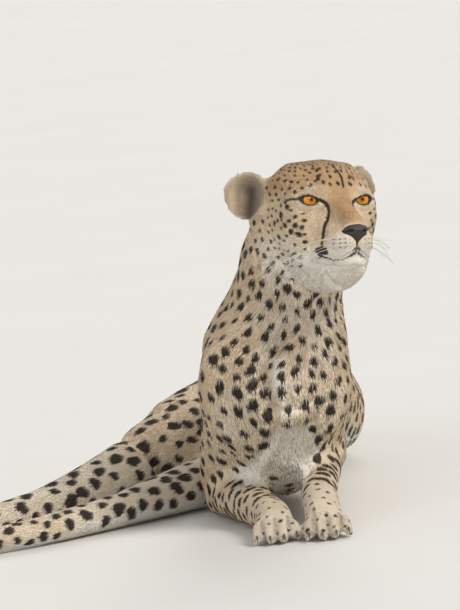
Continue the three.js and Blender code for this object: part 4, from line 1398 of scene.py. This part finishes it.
def make_whiskers():
    """Tapered, curved hairs in rows on the whisker pads and over the eyes."""
    sides, joints = 5, 9
    bm = bmesh.new()
    turn = (2 * math.pi * np.arange(sides) / sides)[:, None]
    for sign, start, aim, length in list(whisker_starts()):
        t = np.linspace(0, 1, joints)[:, None]
        aim = unit(np.array(aim) + rng.normal(0, 0.13, 3))
        curve = np.array(start) + length * (t * aim + t**2 * np.array((-0.1, -0.42, -0.16)))
        curve = curve * (sign, 1, 1)
        ahead = unit(np.gradient(curve, axis=0))
        across = unit(np.cross(ahead, (0.1, 0.2, 1.0)))
        above = np.cross(across, ahead)
        thick = 0.32 - 0.06 * t
        rings = []
        for middle, radius, u, v in zip(curve, thick, across, above):
            ring = middle + radius * (np.cos(turn) * u + np.sin(turn) * v)
            rings.append([bm.verts.new(point) for point in from_head(ring)])
        root, tip = (bm.verts.new(point) for point in from_head(curve[[0, -1]]))
        bridge(bm, rings)
        for i in range(sides):
            j = (i + 1) % sides
            bm.faces.new((rings[0][j], rings[0][i], root))
            bm.faces.new((rings[-1][i], rings[-1][j], tip))
    bmesh.ops.recalc_face_normals(bm, faces=bm.faces)
    mesh = mesh_from(bm, "whiskers")
    dress(mesh, whisker_material())
    made = new_object("whiskers", mesh)
    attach(made, "root")


iris_material = eye_material()
for side in EYES:
    make_eye(side)
make_nose()
make_claws()
make_whiskers()
coat()

dress(skin_mesh, skin_material)
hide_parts(*[n for n in FLESH if n != "nose"])
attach(skin, "root")

# ---- stage


LOOK_AT = (-0.1551, 0.1758, -0.1430)  # from the brow, in metres


def camera():
    elevation, roll, distance = math.radians(7), math.radians(7), 7.0
    ahead = Vector((0, math.cos(elevation), -math.sin(elevation)))
    level = Vector((1, 0, 0))
    upright = Vector((0, math.sin(elevation), math.cos(elevation)))
    up = upright * math.cos(roll) + level * math.sin(roll)
    right = level * math.cos(roll) - upright * math.sin(roll)
    data = bpy.data.cameras.new("camera")
    data.sensor_width, data.lens, data.clip_end = 36, 306, 120
    made = new_object("camera", data)
    turn = Matrix((right, up, -ahead)).transposed()
    target = Vector(BROW) + Vector(LOOK_AT)
    made.matrix_world = Matrix.Translation(target - ahead * distance) @ turn.to_4x4()
    bpy.context.scene.camera = made


camera()


def soft_sun(name, direction, strength, spread_angle, colour=(1, 1, 1)):
    data = bpy.data.lights.new(name, "SUN")
    data.energy, data.angle, data.color = strength, math.radians(spread_angle), colour
    made = new_object(name, data)
    made.rotation_mode = "QUATERNION"
    made.rotation_quaternion = Vector(direction).to_track_quat("-Z", "Y")


soft_sun("key", (-0.62, 0.55, -0.75), 1.75, 22, (1.0, 0.97, 0.92))
soft_sun("fill", (0.8, 0.6, -0.35), 0.45, 50)
soft_sun("rim", (-0.25, -0.8, -0.6), 0.85, 30)


def make_floor():
    corners = [(-45, -45, 0), (45, -45, 0), (45, 45, 0), (-45, 45, 0)]
    mesh = new_mesh("floor", corners, [(0, 1, 2, 3)])
    made = new_object("floor", mesh)
    g = Graph("floor")
    speck = g.noise(g.place(), 3.0, 4.0)
    colour = g.mix(speck, linear(226, 223, 217), linear(232, 229, 224))
    mesh.materials.append(g.finish(Base_Color=colour, Roughness=0.9))


def make_world():
    world = bpy.data.worlds.new("world")
    bpy.context.scene.world = world
    world.use_nodes = True
    tree = world.node_tree
    lit = tree.nodes["Background"]
    lit.inputs[0].default_value = (0.86, 0.88, 0.92, 1)
    lit.inputs[1].default_value = 0.5
    seen = tree.nodes.new("ShaderNodeBackground")
    seen.inputs[0].default_value = linear(236, 234, 230)
    path = tree.nodes.new("ShaderNodeLightPath")
    blend = tree.nodes.new("ShaderNodeMixShader")
    either = path.outputs["Is Camera Ray"]
    for name in ("Is Glossy Ray", "Is Transmission Ray"):
        larger = tree.nodes.new("ShaderNodeMath")
        larger.operation = "MAXIMUM"
        tree.links.new(either, larger.inputs[0])
        tree.links.new(path.outputs[name], larger.inputs[1])
        either = larger.outputs[0]
    tree.links.new(either, blend.inputs[0])
    tree.links.new(lit.outputs[0], blend.inputs[1])
    tree.links.new(seen.outputs[0], blend.inputs[2])
    tree.links.new(blend.outputs[0], tree.nodes["World Output"].inputs[0])


make_floor()
make_world()
bpy.context.scene.view_settings.view_transform = "Standard"
